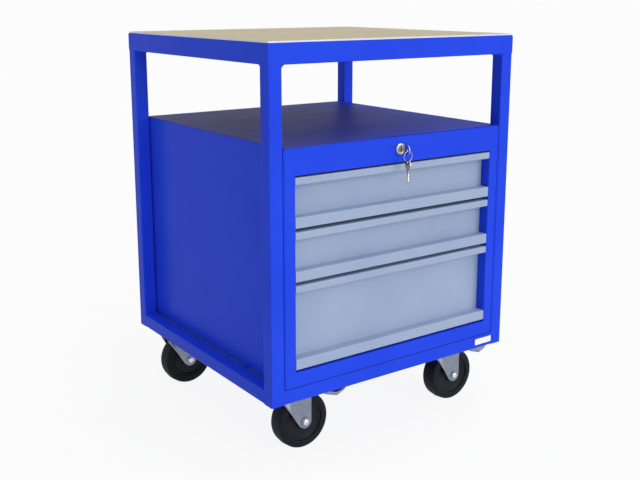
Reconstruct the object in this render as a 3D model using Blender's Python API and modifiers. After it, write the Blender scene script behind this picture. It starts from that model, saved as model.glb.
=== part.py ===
# Mobile workbench: a welded square-tube frame on four swivel casters, with a wooden worktop
# let into its top, an open shelf below it and a sheet-steel cabinet that holds three drawers.
# Units are metres. +Z is up, the drawers face -Y, and +X is on the right seen from the front.
# The origin is on the floor, under the middle of the whole object.

import math

import bmesh
import bpy
from mathutils import Matrix

for old_object in list(bpy.data.objects):
    bpy.data.objects.remove(old_object, do_unlink=True)

# Clearances
FIT_GAP = 0.0003
RUNNING_GAP = 0.0005

# Points closer than this are one point
MERGE_DISTANCE = 0.00001

# Frame of square tube
FRAME_WIDTH = 0.630
FRAME_DEPTH = 0.600
FRAME_HEIGHT = 0.705
TUBE_SIDE = 0.030
TUBE_WALL = 0.002
TUBE_CORNER_RADIUS = 0.0025
TUBE_CORNER_SEGMENTS = 3
TOP_RAIL_HEIGHT = 0.040

# Worktop and the strips that carry it
BOARD_THICKNESS = 0.018
BOARD_SIDE_GAP = 0.0008
BOARD_COVER = 0.003
BOARD_COVER_INSET = 0.002
BOARD_EDGE_RADIUS = 0.0012
BOARD_EDGE_SEGMENTS = 2
STRIP_WIDTH = 0.018
STRIP_THICKNESS = 0.003
STRIP_END_SPACE = 0.010

# Cabinet of folded sheet
SHEET = 0.0015
BEND_SEGMENTS = 3
CABINET_SIDE_GAP = 0.003
CABINET_REAR_SPACE = 0.012
TOP_BAND_HEIGHT = 0.0568
BOTTOM_BAND_HEIGHT = 0.0312
STILE_WIDTH = 0.024
FACE_DEPTH = 0.028
FACE_EDGE_RADIUS = 0.0025
FACE_EDGE_SEGMENTS = 3
TAB_WIDTH = 0.014
TAB_HEIGHT = 0.018
TAB_LIFT = 0.036
TAB_SPACING = 0.120

# Drawers, from the top down
DRAWER_HEIGHTS = {"top": 0.100, "middle": 0.100, "bottom": 0.173}
DRAWER_SPACING = 0.007
DRAWER_TOP_SPACE = 0.0015
DRAWER_BOTTOM_SPACE = 0.0045
DRAWER_SIDE_SPACE = 0.001
PANEL_RECESS = 0.024
LIP_HEIGHT = 0.014
STRIP_FACE_HEIGHT = 0.022
STRIP_RETURN = 0.016
FRONT_BEND_RADIUS = 0.0016
TRAY_SHEET = 0.0012
TRAY_BOTTOM_SPACE = 0.010
TRAY_TOP_SPACE = 0.020
TRAY_REAR_SPACE = 0.040

# Drawer runners: a channel on the cabinet and a bar on the tray
RUNNER_SHEET = 0.0015
BAR_HEIGHT = 0.014
BAR_WIDTH = 0.0095
BAR_ABOVE_TRAY_FLOOR = 0.034
CHANNEL_SIDE_GAP = 0.0008
CHANNEL_FRONT_SPACE = 0.004
STANDOFF_LENGTH = 0.024
STANDOFF_FROM_END = 0.030
STANDOFF_EDGE_SPACE = 0.0016

# Cylinder lock, keys and ring
LOCK_ABOVE_OPENING = 0.030
BEZEL_RADIUS = 0.0120
BEZEL_HEIGHT = 0.0040
BARREL_RADIUS = 0.0090
BARREL_LENGTH = 0.022
PLUG_RADIUS = 0.0062
PLUG_LENGTH = 0.033
CAM_LENGTH = 0.046
CAM_WIDTH = 0.012
CAM_THICKNESS = 0.0025
KEY_THICKNESS = 0.0020
KEY_BLADE_HEIGHT = 0.0072
KEY_INSERTED = 0.018
KEY_NECK = 0.004
KEY_BOW_RADIUS = 0.011
KEY_HOLE_RADIUS = 0.0028
KEY_HOLE_OFFSET = 0.006
KEYWAY_GAP = 0.0002
RING_RADIUS = 0.0105
RING_WIRE_RADIUS = 0.0008
RING_WIRE_SEGMENTS = 8

# Casters
CASTER_HEIGHT = 0.155
CASTER_SIDE_INSETS = {"front": 0.101, "rear": 0.0645}
CASTER_END_INSETS = {"front": 0.100, "rear": 0.051}
CROSSBAR_WIDTH = 0.110
CROSSBAR_THICKNESS = 0.005
PLATE_LENGTH = 0.105
PLATE_WIDTH = 0.085
PLATE_THICKNESS = 0.004
PLATE_CORNER_RADIUS = 0.008
PLATE_CORNER_SEGMENTS = 4
CUP_RADIUS = 0.032
CUP_HEIGHT = 0.005
HEAD_RADIUS = 0.028
HEAD_HEIGHT = 0.004
KINGPIN_RADIUS = 0.006
KINGPIN_GAP = 0.0002
KINGPIN_HEAD_RADIUS = 0.010
KINGPIN_HEAD_HEIGHT = 0.003
FORK_SHEET = 0.003
FORK_INSIDE_WIDTH = 0.044
FORK_FRONT_REACH = 0.030
FORK_REAR_REACH = 0.045
FORK_SHOULDER_HEIGHT = 0.012
FORK_EYE_RADIUS = 0.015
FORK_EYE_STEPS = 12
TRAIL = 0.030
WHEEL_TOP_SPACE = 0.030
TYRE_WIDTH = 0.039
TYRE_SHOULDER_RADIUS = 0.005
TYRE_CROWN = 0.0015
TYRE_DEPTH = 0.0185
RIM_WIDTH = 0.036
RIM_EDGE = 0.005
WEB_WIDTH = 0.024
HUB_RADIUS = 0.017
HUB_WIDTH = 0.043
AXLE_RADIUS = 0.005
AXLE_GAP = 0.0002
BOLT_HEAD_RADIUS = 0.0085
BOLT_HEAD_HEIGHT = 0.005
TYRE_SHOULDER_STEPS = 4
WHEEL_SEGMENTS = 32
ROUND_SEGMENTS = 24
SMALL_ROUND_SEGMENTS = 16

# Brake pedals of the front casters
PEDAL_WIDTH = 0.040
PEDAL_SHEET = 0.0025
PEDAL_PIVOT_X = 0.038
PEDAL_PIVOT_DROP = 0.008
PEDAL_SLEEVE_RADIUS = 0.0035
PEDAL_REACH = 0.078
PEDAL_FALL = 0.026
PEDAL_TIP_REACH = 0.027
PEDAL_TIP_RISE = 0.007
PEDAL_BEND_RADIUS = 0.006

# Places that follow from the sizes above
FRAME_BOTTOM = CASTER_HEIGHT
FRAME_TOP = FRAME_BOTTOM + FRAME_HEIGHT
HALF_WIDTH = FRAME_WIDTH / 2
KEY_CENTRE_REACH = BEZEL_HEIGHT + KEY_NECK + KEY_BOW_RADIUS
KEY_REACH = KEY_CENTRE_REACH + KEY_BOW_RADIUS
FRONT_Y = (KEY_REACH - FRAME_DEPTH) / 2
REAR_Y = FRONT_Y + FRAME_DEPTH
MIDDLE_Y = (FRONT_Y + REAR_Y) / 2
CASTER_X = {row: HALF_WIDTH - inset for row, inset in CASTER_SIDE_INSETS.items()}
CASTER_Y = {"front": FRONT_Y + CASTER_END_INSETS["front"], "rear": REAR_Y - CASTER_END_INSETS["rear"]}
PEDAL_TIP_EDGE = PEDAL_SHEET / 2 * PEDAL_TIP_RISE / math.hypot(PEDAL_TIP_REACH, PEDAL_TIP_RISE)
PEDAL_END = PEDAL_PIVOT_X + PEDAL_REACH + PEDAL_TIP_REACH + PEDAL_TIP_EDGE
WHEEL_RADIUS = (CASTER_HEIGHT - WHEEL_TOP_SPACE) / 2
RIM_RADIUS = WHEEL_RADIUS - TYRE_DEPTH
PEDAL_OVERHANG = max(0.0, CASTER_X["front"] + PEDAL_END - HALF_WIDTH)

CABINET_HALF = HALF_WIDTH - TUBE_SIDE - CABINET_SIDE_GAP
CABINET_BOTTOM = FRAME_BOTTOM + TUBE_SIDE + FIT_GAP
CABINET_REAR_Y = REAR_Y - CABINET_REAR_SPACE
OPENING_HEIGHT = (
    DRAWER_TOP_SPACE
    + sum(DRAWER_HEIGHTS.values())
    + DRAWER_SPACING * (len(DRAWER_HEIGHTS) - 1)
    + DRAWER_BOTTOM_SPACE
)
OPENING_BOTTOM = CABINET_BOTTOM + BOTTOM_BAND_HEIGHT
OPENING_TOP = OPENING_BOTTOM + OPENING_HEIGHT
OPENING_HALF = CABINET_HALF - STILE_WIDTH
FACE_TOP = OPENING_TOP + TOP_BAND_HEIGHT - SHEET - FIT_GAP
CABINET_TOP = OPENING_TOP + TOP_BAND_HEIGHT
FACE_BACK_Y = FRONT_Y + FACE_DEPTH
PANEL_FRONT_Y = FACE_BACK_Y + FIT_GAP
SIDE_INSIDE = CABINET_HALF - SHEET

DRAWER_HALF = OPENING_HALF - DRAWER_SIDE_SPACE
BAR_OUTSIDE = DRAWER_HALF
TRAY_HALF = BAR_OUTSIDE - BAR_WIDTH
TRAY_FRONT_Y = FRONT_Y + PANEL_RECESS + SHEET / 2 + FIT_GAP
TRAY_REAR_Y = CABINET_REAR_Y - TRAY_REAR_SPACE

PARTS = bpy.data.collections.new("mobile_workbench")
CUTTERS = bpy.data.collections.new("cutters")
bpy.context.scene.collection.children.link(PARTS)
bpy.context.scene.collection.children.link(CUTTERS)


def finish(name, color, roughness, metallic):
    """A plain material of one colour."""
    made = bpy.data.materials.new(name)
    made.use_nodes = True
    shader = made.node_tree.nodes["Principled BSDF"]
    shader.inputs["Base Color"].default_value = (*color, 1.0)
    shader.inputs["Roughness"].default_value = roughness
    shader.inputs["Metallic"].default_value = metallic
    made.diffuse_color = (*color, 1.0)
    return made


BLUE_PAINT = finish("blue_powder_coat", (0.03, 0.09, 0.80), 0.35, 0.0)
GREY_PAINT = finish("grey_drawer_paint", (0.35, 0.44, 0.61), 0.45, 0.0)
WOOD = finish("worktop_wood", (0.53, 0.46, 0.34), 0.55, 0.0)
ZINC = finish("zinc_plated_steel", (0.45, 0.47, 0.50), 0.35, 1.0)
NICKEL = finish("nickel_plated_brass", (0.62, 0.60, 0.55), 0.25, 1.0)
RUBBER = finish("black_rubber", (0.02, 0.02, 0.022), 0.70, 0.0)
RIM_PLASTIC = finish("black_polypropylene", (0.03, 0.03, 0.033), 0.50, 0.0)


def joint_empty(name, at, parent=None):
    """An empty that carries the pieces of one moving body, on the axis of its joint."""
    empty = bpy.data.objects.new(name, None)
    PARTS.objects.link(empty)
    empty.location = at
    empty.parent = parent
    return empty


# The bench stands a little left of the origin, because the right-hand brake pedal reaches past it
BENCH = joint_empty("bench", (-PEDAL_OVERHANG / 2, 0.0, 0.0))


def mesh_object(name, shape, material, at=(0.0, 0.0, 0.0), turn=(0.0, 0.0, 0.0), parent=BENCH):
    """A named sub-part made from a bmesh."""
    mesh = bpy.data.meshes.new(name)
    shape.to_mesh(mesh)
    shape.free()
    mesh.materials.append(material)
    made = bpy.data.objects.new(name, mesh)
    PARTS.objects.link(made)
    made.location = at
    made.rotation_euler = turn
    made.parent = parent
    return made


def tool_of(target, shape, operation):
    """Joins a shape to a sub-part, or cuts it out, in the sub-part's own coordinates."""
    name = f"{target.name}_tool_{len(target.modifiers)}"
    tool = mesh_object(name, shape, target.data.materials[0], parent=target)
    PARTS.objects.unlink(tool)
    CUTTERS.objects.link(tool)
    tool.hide_render = True
    tool.display_type = "WIRE"
    boolean = target.modifiers.new(operation.lower(), "BOOLEAN")
    boolean.operation = operation
    boolean.solver = "EXACT"
    boolean.object = tool
    return tool


def cuboid(low, high):
    """A box between two corners."""
    shape = bmesh.new()
    bmesh.ops.create_cube(shape, size=1.0)
    bmesh.ops.scale(shape, vec=[b - a for a, b in zip(low, high)], verts=shape.verts)
    bmesh.ops.translate(shape, vec=[(a + b) / 2 for a, b in zip(low, high)], verts=shape.verts)
    return shape


def edges_along(shape, axis):
    """The edges of a box that run along one axis."""
    others = [a for a in range(3) if a != axis]
    spans = {edge: edge.verts[0].co - edge.verts[1].co for edge in shape.edges}
    return [edge for edge, span in spans.items() if all(abs(span[a]) < MERGE_DISTANCE for a in others)]


def round_edges(shape, edges, radius, segments):
    bmesh.ops.bevel(
        shape, geom=edges, offset=radius, segments=segments, profile=0.5, affect="EDGES", clamp_overlap=True
    )


def rod(radius, start, end, axis, segments=ROUND_SEGMENTS):
    """A round bar along one axis, between two points of that axis."""
    shape = bmesh.new()
    bmesh.ops.create_cone(
        shape, cap_ends=True, segments=segments, radius1=radius, radius2=radius, depth=end - start
    )
    bmesh.ops.translate(shape, vec=(0.0, 0.0, (start + end) / 2), verts=shape.verts)
    if axis != "Z":
        angle, about = {"X": (math.pi / 2, "Y"), "Y": (-math.pi / 2, "X")}[axis]
        turn = Matrix.Rotation(angle, 3, about)
        bmesh.ops.rotate(shape, cent=(0.0, 0.0, 0.0), matrix=turn, verts=shape.verts)
    return shape


def turned_object(name, profile, material, closed, segments, at, turn, parent):
    """A sub-part turned round its own Z axis from a profile of (radius, height) points."""
    shape = bmesh.new()
    points = [shape.verts.new((radius, 0.0, height)) for radius, height in profile]
    for first, second in zip(points, points[1:]):
        shape.edges.new((first, second))
    if closed:
        shape.edges.new((points[-1], points[0]))
    made = mesh_object(name, shape, material, at=at, turn=turn, parent=parent)
    screw = made.modifiers.new("turn", "SCREW")
    screw.steps = segments
    screw.render_steps = segments
    screw.use_merge_vertices = True
    screw.merge_threshold = MERGE_DISTANCE
    return made


def folded_object(name, path, length, sheet, bend, material, at, turn, parent):
    """Folded sheet: a bent line of (y, z) points, drawn out along X and given its thickness."""
    shape = bmesh.new()
    points = [shape.verts.new((-length / 2, y, z)) for y, z in path]
    for first, second in zip(points, points[1:]):
        shape.edges.new((first, second))
    bmesh.ops.bevel(
        shape,
        geom=points[1:-1],
        offset=bend,
        segments=BEND_SEGMENTS,
        profile=0.5,
        affect="VERTICES",
        clamp_overlap=True,
    )
    drawn = bmesh.ops.extrude_edge_only(shape, edges=shape.edges[:])
    moved = [item for item in drawn["geom"] if isinstance(item, bmesh.types.BMVert)]
    bmesh.ops.translate(shape, vec=(length, 0.0, 0.0), verts=moved)
    bmesh.ops.recalc_face_normals(shape, faces=shape.faces)
    made = mesh_object(name, shape, material, at=at, turn=turn, parent=parent)
    solid = made.modifiers.new("sheet", "SOLIDIFY")
    solid.thickness = sheet
    solid.offset = 0.0
    solid.use_even_offset = True
    return made


def square_tube(name, length, height, at, turn, mitred):
    """A hollow tube along its own X axis. A mitred one is longest on its own -Y side."""
    half = length / 2
    side = TUBE_SIDE / 2
    shape = cuboid((-half, -side, -height / 2), (half, side, height / 2))
    round_edges(shape, edges_along(shape, 0), TUBE_CORNER_RADIUS, TUBE_CORNER_SEGMENTS)
    if mitred:
        for vert in shape.verts:
            vert.co.x -= math.copysign(vert.co.y + side, vert.co.x)
    tube = mesh_object(name, shape, BLUE_PAINT, at=at, turn=turn)
    reach = half + TUBE_SIDE
    bore_y = side - TUBE_WALL
    bore_z = height / 2 - TUBE_WALL
    tool_of(tube, cuboid((-reach, -bore_y, -bore_z), (reach, bore_y, bore_z)), "DIFFERENCE")
    return tube


# Posts: upright tubes in the four corners, up to the underside of the top rails
POST_BOTTOM = FRAME_BOTTOM
POST_TOP = FRAME_TOP - TOP_RAIL_HEIGHT - FIT_GAP
POST_X = HALF_WIDTH - TUBE_SIDE / 2
for row_name, row_y in (("front", FRONT_Y + TUBE_SIDE / 2), ("rear", REAR_Y - TUBE_SIDE / 2)):
    for side_name, side in (("left", -1), ("right", 1)):
        square_tube(
            f"post_{row_name}_{side_name}",
            POST_TOP - POST_BOTTOM,
            TUBE_SIDE,
            at=(side * POST_X, row_y, (POST_BOTTOM + POST_TOP) / 2),
            turn=(0.0, math.pi / 2, 0.0),
            mitred=False,
        )

# Rails: a mitred ring on top of the posts, and a lower ring of tubes between them
RAIL_SIDES = {
    "front": (FRAME_WIDTH, (0.0, FRONT_Y + TUBE_SIDE / 2), 0.0),
    "right": (FRAME_DEPTH, (POST_X, MIDDLE_Y), math.pi / 2),
    "rear": (FRAME_WIDTH, (0.0, REAR_Y - TUBE_SIDE / 2), math.pi),
    "left": (FRAME_DEPTH, (-POST_X, MIDDLE_Y), -math.pi / 2),
}
BOARD_TOP = FRAME_TOP + FIT_GAP + BOARD_COVER
STRIP_TOP = BOARD_TOP - BOARD_THICKNESS - FIT_GAP
for rail_name, (rail_length, (rail_x, rail_y), rail_turn) in RAIL_SIDES.items():
    top_z = FRAME_TOP - TOP_RAIL_HEIGHT / 2
    top_rail = square_tube(
        f"top_rail_{rail_name}",
        rail_length - 2 * FIT_GAP,
        TOP_RAIL_HEIGHT,
        at=(rail_x, rail_y, top_z),
        turn=(0.0, 0.0, rail_turn),
        mitred=True,
    )
    if rail_name in ("front", "rear"):
        strip_half = rail_length / 2 - TUBE_SIDE - STRIP_END_SPACE
        strip_low = (-strip_half, TUBE_SIDE / 2 - TUBE_WALL / 2, STRIP_TOP - STRIP_THICKNESS - top_z)
        strip_high = (strip_half, TUBE_SIDE / 2 + STRIP_WIDTH, STRIP_TOP - top_z)
        tool_of(top_rail, cuboid(strip_low, strip_high), "UNION")
    square_tube(
        f"bottom_rail_{rail_name}",
        rail_length - 2 * TUBE_SIDE - 2 * FIT_GAP,
        TUBE_SIDE,
        at=(rail_x, rail_y, FRAME_BOTTOM + TUBE_SIDE / 2),
        turn=(0.0, 0.0, rail_turn),
        mitred=False,
    )

# Worktop board, let into the ring of top rails and resting on their strips. Its rebated top layer lies over
# the rails and stops just short of their outer edges.
cover_x = HALF_WIDTH - BOARD_COVER_INSET
cover = cuboid(
    (-cover_x, FRONT_Y + BOARD_COVER_INSET, BOARD_TOP - BOARD_COVER),
    (cover_x, REAR_Y - BOARD_COVER_INSET, BOARD_TOP),
)
cover_middle = BOARD_TOP - BOARD_COVER / 2
cover_rim = [edge for edge in cover.edges if min(vert.co.z for vert in edge.verts) > cover_middle]
round_edges(cover, cover_rim, BOARD_EDGE_RADIUS, BOARD_EDGE_SEGMENTS)
board = mesh_object("worktop_board", cover, WOOD)
board_x = HALF_WIDTH - TUBE_SIDE - BOARD_SIDE_GAP
board_core = cuboid(
    (-board_x, FRONT_Y + TUBE_SIDE + BOARD_SIDE_GAP, BOARD_TOP - BOARD_THICKNESS),
    (board_x, REAR_Y - TUBE_SIDE - BOARD_SIDE_GAP, cover_middle),
)
tool_of(board, board_core, "UNION")

# Crossbars between the lower side rails, flush with their underside, to which the caster plates are fixed.
# The rear one lies against the rear rail, because the rear casters stand in the corners.
crossbar_half = HALF_WIDTH - TUBE_SIDE - FIT_GAP
CROSSBAR_FRONTS = {
    "front": CASTER_Y["front"] - CROSSBAR_WIDTH / 2,
    "rear": REAR_Y - TUBE_SIDE - FIT_GAP - CROSSBAR_WIDTH,
}
for row_name, bar_front in CROSSBAR_FRONTS.items():
    bar = cuboid(
        (-crossbar_half, bar_front, FRAME_BOTTOM),
        (crossbar_half, bar_front + CROSSBAR_WIDTH, FRAME_BOTTOM + CROSSBAR_THICKNESS),
    )
    mesh_object(f"caster_crossbar_{row_name}", bar, BLUE_PAINT)

# Cabinet sides: flat sheets just inside the posts, with small tabs that are welded to the frame
tab_reach = CABINET_SIDE_GAP - FIT_GAP
rear_tab_y = CABINET_REAR_Y - TAB_WIDTH / 2 - FIT_GAP
side_low_z = CABINET_BOTTOM
side_high_z = CABINET_TOP - SHEET - FIT_GAP
TAB_PLACES = (
    (rear_tab_y, side_high_z - TAB_HEIGHT),
    (rear_tab_y, side_low_z + TAB_LIFT),
    (rear_tab_y - TAB_SPACING, side_low_z),
    (FRONT_Y + TUBE_SIDE + TAB_SPACING, side_low_z),
)
for side_name, side in (("left", -1), ("right", 1)):
    outer = side * CABINET_HALF
    inner = side * SIDE_INSIDE
    panel_low = (min(outer, inner), PANEL_FRONT_Y, side_low_z)
    panel_high = (max(outer, inner), CABINET_REAR_Y, side_high_z)
    panel = cuboid(panel_low, panel_high)
    panel_object = mesh_object(f"cabinet_{side_name}_side", panel, BLUE_PAINT)
    tab_ends = sorted((outer + side * tab_reach, side * (CABINET_HALF - SHEET / 2)))
    for tab_y, tab_z in TAB_PLACES:
        tab_low = (tab_ends[0], tab_y - TAB_WIDTH / 2, tab_z - TAB_HEIGHT / 2)
        tab_high = (tab_ends[1], tab_y + TAB_WIDTH / 2, tab_z + TAB_HEIGHT / 2)
        tool_of(panel_object, cuboid(tab_low, tab_high), "UNION")

# Cabinet back, base and top
back_x = SIDE_INSIDE - FIT_GAP
back_front_y = CABINET_REAR_Y - SHEET
mesh_object(
    "cabinet_back",
    cuboid((-back_x, back_front_y, CABINET_BOTTOM), (back_x, CABINET_REAR_Y, side_high_z)),
    BLUE_PAINT,
)
mesh_object(
    "cabinet_base",
    cuboid(
        (-back_x, PANEL_FRONT_Y, CABINET_BOTTOM),
        (back_x, back_front_y - FIT_GAP, CABINET_BOTTOM + SHEET),
    ),
    BLUE_PAINT,
)
mesh_object(
    "cabinet_top",
    cuboid((-CABINET_HALF, FRONT_Y, CABINET_TOP - SHEET), (CABINET_HALF, CABINET_REAR_Y, CABINET_TOP)),
    BLUE_PAINT,
)

# Cabinet face: a folded surround, flush with the posts, open at the back
face = cuboid((-CABINET_HALF, FRONT_Y, CABINET_BOTTOM), (CABINET_HALF, FACE_BACK_Y, FACE_TOP))
face_corners = [edge for edge in edges_along(face, 2) if edge.verts[0].co.y < FACE_BACK_Y - SHEET]
round_edges(face, face_corners, FACE_EDGE_RADIUS, FACE_EDGE_SEGMENTS)
face_object = mesh_object("cabinet_front_frame", face, BLUE_PAINT)
pocket = cuboid(
    (-CABINET_HALF + SHEET, FRONT_Y + SHEET, CABINET_BOTTOM + SHEET),
    (CABINET_HALF - SHEET, FACE_BACK_Y + SHEET, FACE_TOP - SHEET),
)
pocket_tool = tool_of(face_object, pocket, "DIFFERENCE")
core = cuboid(
    (-OPENING_HALF - SHEET, FRONT_Y - SHEET, OPENING_BOTTOM - SHEET),
    (OPENING_HALF + SHEET, FACE_BACK_Y + 2 * SHEET, OPENING_TOP + SHEET),
)
tool_of(pocket_tool, core, "DIFFERENCE")
opening = cuboid(
    (-OPENING_HALF, FRONT_Y - SHEET, OPENING_BOTTOM),
    (OPENING_HALF, FACE_BACK_Y + SHEET, OPENING_TOP),
)
tool_of(face_object, opening, "DIFFERENCE")
LOCK_Z = OPENING_TOP + LOCK_ABOVE_OPENING
lock_hole = rod(BARREL_RADIUS + FIT_GAP, FRONT_Y - SHEET, FRONT_Y + 2 * SHEET, "Y")
bmesh.ops.translate(lock_hole, vec=(0.0, 0.0, LOCK_Z), verts=lock_hole.verts)
tool_of(face_object, lock_hole, "DIFFERENCE")


def drawer(name, bottom, height):
    """One drawer: a folded front with two grip strips, a tray with runner bars, and its channels."""
    body = joint_empty(f"drawer_{name}", (0.0, FRONT_Y, bottom), BENCH)
    near = SHEET / 2
    far = PANEL_RECESS
    high = height - SHEET / 2
    path = (
        (near, height - LIP_HEIGHT),
        (near, high),
        (far, high),
        (far, STRIP_FACE_HEIGHT - SHEET / 2),
        (near, STRIP_FACE_HEIGHT - SHEET / 2),
        (near, SHEET / 2),
        (near + STRIP_RETURN, SHEET / 2),
    )
    folded_object(
        f"drawer_{name}_front",
        path,
        2 * DRAWER_HALF,
        SHEET,
        FRONT_BEND_RADIUS,
        GREY_PAINT,
        at=(0.0, 0.0, 0.0),
        turn=(0.0, 0.0, 0.0),
        parent=body,
    )
    tray_front = TRAY_FRONT_Y - FRONT_Y
    tray_rear = TRAY_REAR_Y - FRONT_Y
    tray_floor = TRAY_BOTTOM_SPACE
    tray = cuboid((-TRAY_HALF, tray_front, tray_floor), (TRAY_HALF, tray_rear, height - TRAY_TOP_SPACE))
    lid = [f for f in tray.faces if f.normal.z > 0.5]
    bmesh.ops.delete(tray, geom=lid, context="FACES_ONLY")
    tray_object = mesh_object(f"drawer_{name}_tray", tray, GREY_PAINT, parent=body)
    walls = tray_object.modifiers.new("walls", "SOLIDIFY")
    walls.thickness = TRAY_SHEET
    walls.offset = -1.0
    walls.use_even_offset = True
    bar_z = tray_floor + BAR_ABOVE_TRAY_FLOOR
    for side in (-1, 1):
        ends = sorted((side * (TRAY_HALF - TRAY_SHEET / 2), side * BAR_OUTSIDE))
        bar_low = (ends[0], tray_front, bar_z - BAR_HEIGHT / 2)
        bar_high = (ends[1], tray_rear, bar_z + BAR_HEIGHT / 2)
        tool_of(tray_object, cuboid(bar_low, bar_high), "UNION")
    for side_name, side in (("left", -1), ("right", 1)):
        channel(f"channel_{name}_{side_name}", side, bottom + bar_z)


def channel(name, side, z):
    """A runner channel on the cabinet's side, held off it by two standoffs, open towards the drawer."""
    web = BAR_OUTSIDE + CHANNEL_SIDE_GAP + RUNNER_SHEET / 2
    flange = BAR_HEIGHT / 2 + RUNNING_GAP + RUNNER_SHEET / 2
    tip = BAR_WIDTH - CHANNEL_SIDE_GAP
    front_y = FACE_BACK_Y + CHANNEL_FRONT_SPACE
    length = TRAY_REAR_Y - front_y
    path = ((side * tip, flange), (0.0, flange), (0.0, -flange), (side * tip, -flange))
    made = folded_object(
        name,
        path,
        length,
        RUNNER_SHEET,
        RUNNER_SHEET,
        ZINC,
        at=(side * web, front_y + length / 2, z),
        turn=(0.0, 0.0, math.pi / 2),
        parent=BENCH,
    )
    wall_side = -side * (SIDE_INSIDE - FIT_GAP - web)
    standoff_half = flange - STANDOFF_EDGE_SPACE
    for end in (-1, 1):
        middle = end * (length / 2 - STANDOFF_FROM_END)
        ends = sorted((0.0, wall_side))
        low = (middle - STANDOFF_LENGTH / 2, ends[0], -standoff_half)
        high = (middle + STANDOFF_LENGTH / 2, ends[1], standoff_half)
        tool_of(made, cuboid(low, high), "UNION")


drawer_top_z = OPENING_TOP - DRAWER_TOP_SPACE
for drawer_name, drawer_height in DRAWER_HEIGHTS.items():
    drawer(drawer_name, drawer_top_z - drawer_height, drawer_height)
    drawer_top_z -= drawer_height + DRAWER_SPACING

# Cylinder lock: a fixed barrel in the face, and a plug with the cam that turns behind it
FACING_FRONT = (math.pi / 2, 0.0, 0.0)
lock_body = joint_empty("lock", (0.0, FRONT_Y, LOCK_Z), BENCH)
plug_bore = PLUG_RADIUS + RUNNING_GAP
turned_object(
    "lock_barrel",
    (
        (plug_bore, BEZEL_HEIGHT),
        (BEZEL_RADIUS - BEZEL_HEIGHT / 2, BEZEL_HEIGHT),
        (BEZEL_RADIUS, BEZEL_HEIGHT / 2),
        (BEZEL_RADIUS, FIT_GAP),
        (BARREL_RADIUS, FIT_GAP),
        (BARREL_RADIUS, -BARREL_LENGTH),
        (plug_bore, -BARREL_LENGTH),
    ),
    NICKEL,
    closed=True,
    segments=ROUND_SEGMENTS,
    at=(0.0, 0.0, 0.0),
    turn=FACING_FRONT,
    parent=lock_body,
)
plug = turned_object(
    "lock_plug",
    ((0.0, BEZEL_HEIGHT), (PLUG_RADIUS, BEZEL_HEIGHT), (PLUG_RADIUS, -PLUG_LENGTH), (0.0, -PLUG_LENGTH)),
    NICKEL,
    closed=False,
    segments=ROUND_SEGMENTS,
    at=(0.0, 0.0, 0.0),
    turn=FACING_FRONT,
    parent=lock_body,
)
keyway_x = KEY_THICKNESS / 2 + KEYWAY_GAP
keyway_y = KEY_BLADE_HEIGHT / 2 + KEYWAY_GAP
keyway_end = BEZEL_HEIGHT - KEY_INSERTED - 2 * RUNNING_GAP
tool_of(
    plug,
    cuboid((-keyway_x, -keyway_y, keyway_end), (keyway_x, keyway_y, 2 * BEZEL_HEIGHT)),
    "DIFFERENCE",
)
cam_front = -PLUG_LENGTH + CAM_THICKNESS
tool_of(
    plug,
    cuboid(
        (-CAM_WIDTH / 2, -CAM_WIDTH / 2, -PLUG_LENGTH - CAM_THICKNESS),
        (CAM_LENGTH, CAM_WIDTH / 2, cam_front),
    ),
    "UNION",
)


# The inserted key: a flat round bow with a hole near its end, and a blade along +Y in the plug
half_key = KEY_THICKNESS / 2
bow = rod(KEY_BOW_RADIUS, -half_key, half_key, "X")
inserted_key = mesh_object("inserted_key", bow, NICKEL, at=(0.0, -KEY_CENTRE_REACH, 0.0), parent=lock_body)
half_blade = KEY_BLADE_HEIGHT / 2
blade_end = KEY_BOW_RADIUS + KEY_NECK + KEY_INSERTED
blade = cuboid((-half_key, KEY_BOW_RADIUS / 2, -half_blade), (half_key, blade_end, half_blade))
tool_of(inserted_key, blade, "UNION")
bow_hole = rod(KEY_HOLE_RADIUS, -KEY_THICKNESS, KEY_THICKNESS, "X", segments=SMALL_ROUND_SEGMENTS)
bmesh.ops.translate(bow_hole, vec=(0.0, -KEY_HOLE_OFFSET, 0.0), verts=bow_hole.verts)
tool_of(inserted_key, bow_hole, "DIFFERENCE")

# The wire ring that hangs in the bow's hole
ring_drop = KEY_HOLE_RADIUS - RING_WIRE_RADIUS - FIT_GAP
ring_body = joint_empty("key_ring_pivot", (0.0, -KEY_CENTRE_REACH - KEY_HOLE_OFFSET, -ring_drop), lock_body)
bpy.ops.mesh.primitive_torus_add(
    major_radius=RING_RADIUS,
    minor_radius=RING_WIRE_RADIUS,
    major_segments=ROUND_SEGMENTS,
    minor_segments=RING_WIRE_SEGMENTS,
    rotation=(math.pi / 2, 0.0, 0.0),
)
ring = bpy.context.object
ring.name = "key_ring"
ring.data.materials.append(ZINC)
for collection in list(ring.users_collection):
    collection.objects.unlink(ring)
PARTS.objects.link(ring)
ring.parent = ring_body
ring.location = (0.0, 0.0, -RING_RADIUS)


def rounded_wheel_profile():
    """The tyre's section: flat sides, round shoulders and a slightly crowned tread."""
    inner = RIM_RADIUS + FIT_GAP
    half = TYRE_WIDTH / 2
    stretch = 1 / math.cos(math.pi / WHEEL_SEGMENTS)
    side = [(inner, half)]
    for step in range(TYRE_SHOULDER_STEPS + 1):
        angle = math.pi / 2 * step / TYRE_SHOULDER_STEPS
        radius = WHEEL_RADIUS - TYRE_CROWN - TYRE_SHOULDER_RADIUS * (1 - math.sin(angle))
        side.append((radius * stretch, half - TYRE_SHOULDER_RADIUS * (1 - math.cos(angle))))
    crown = [(WHEEL_RADIUS * stretch, 0.0)]
    return side + crown + [(radius, -height) for radius, height in reversed(side)]


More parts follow.
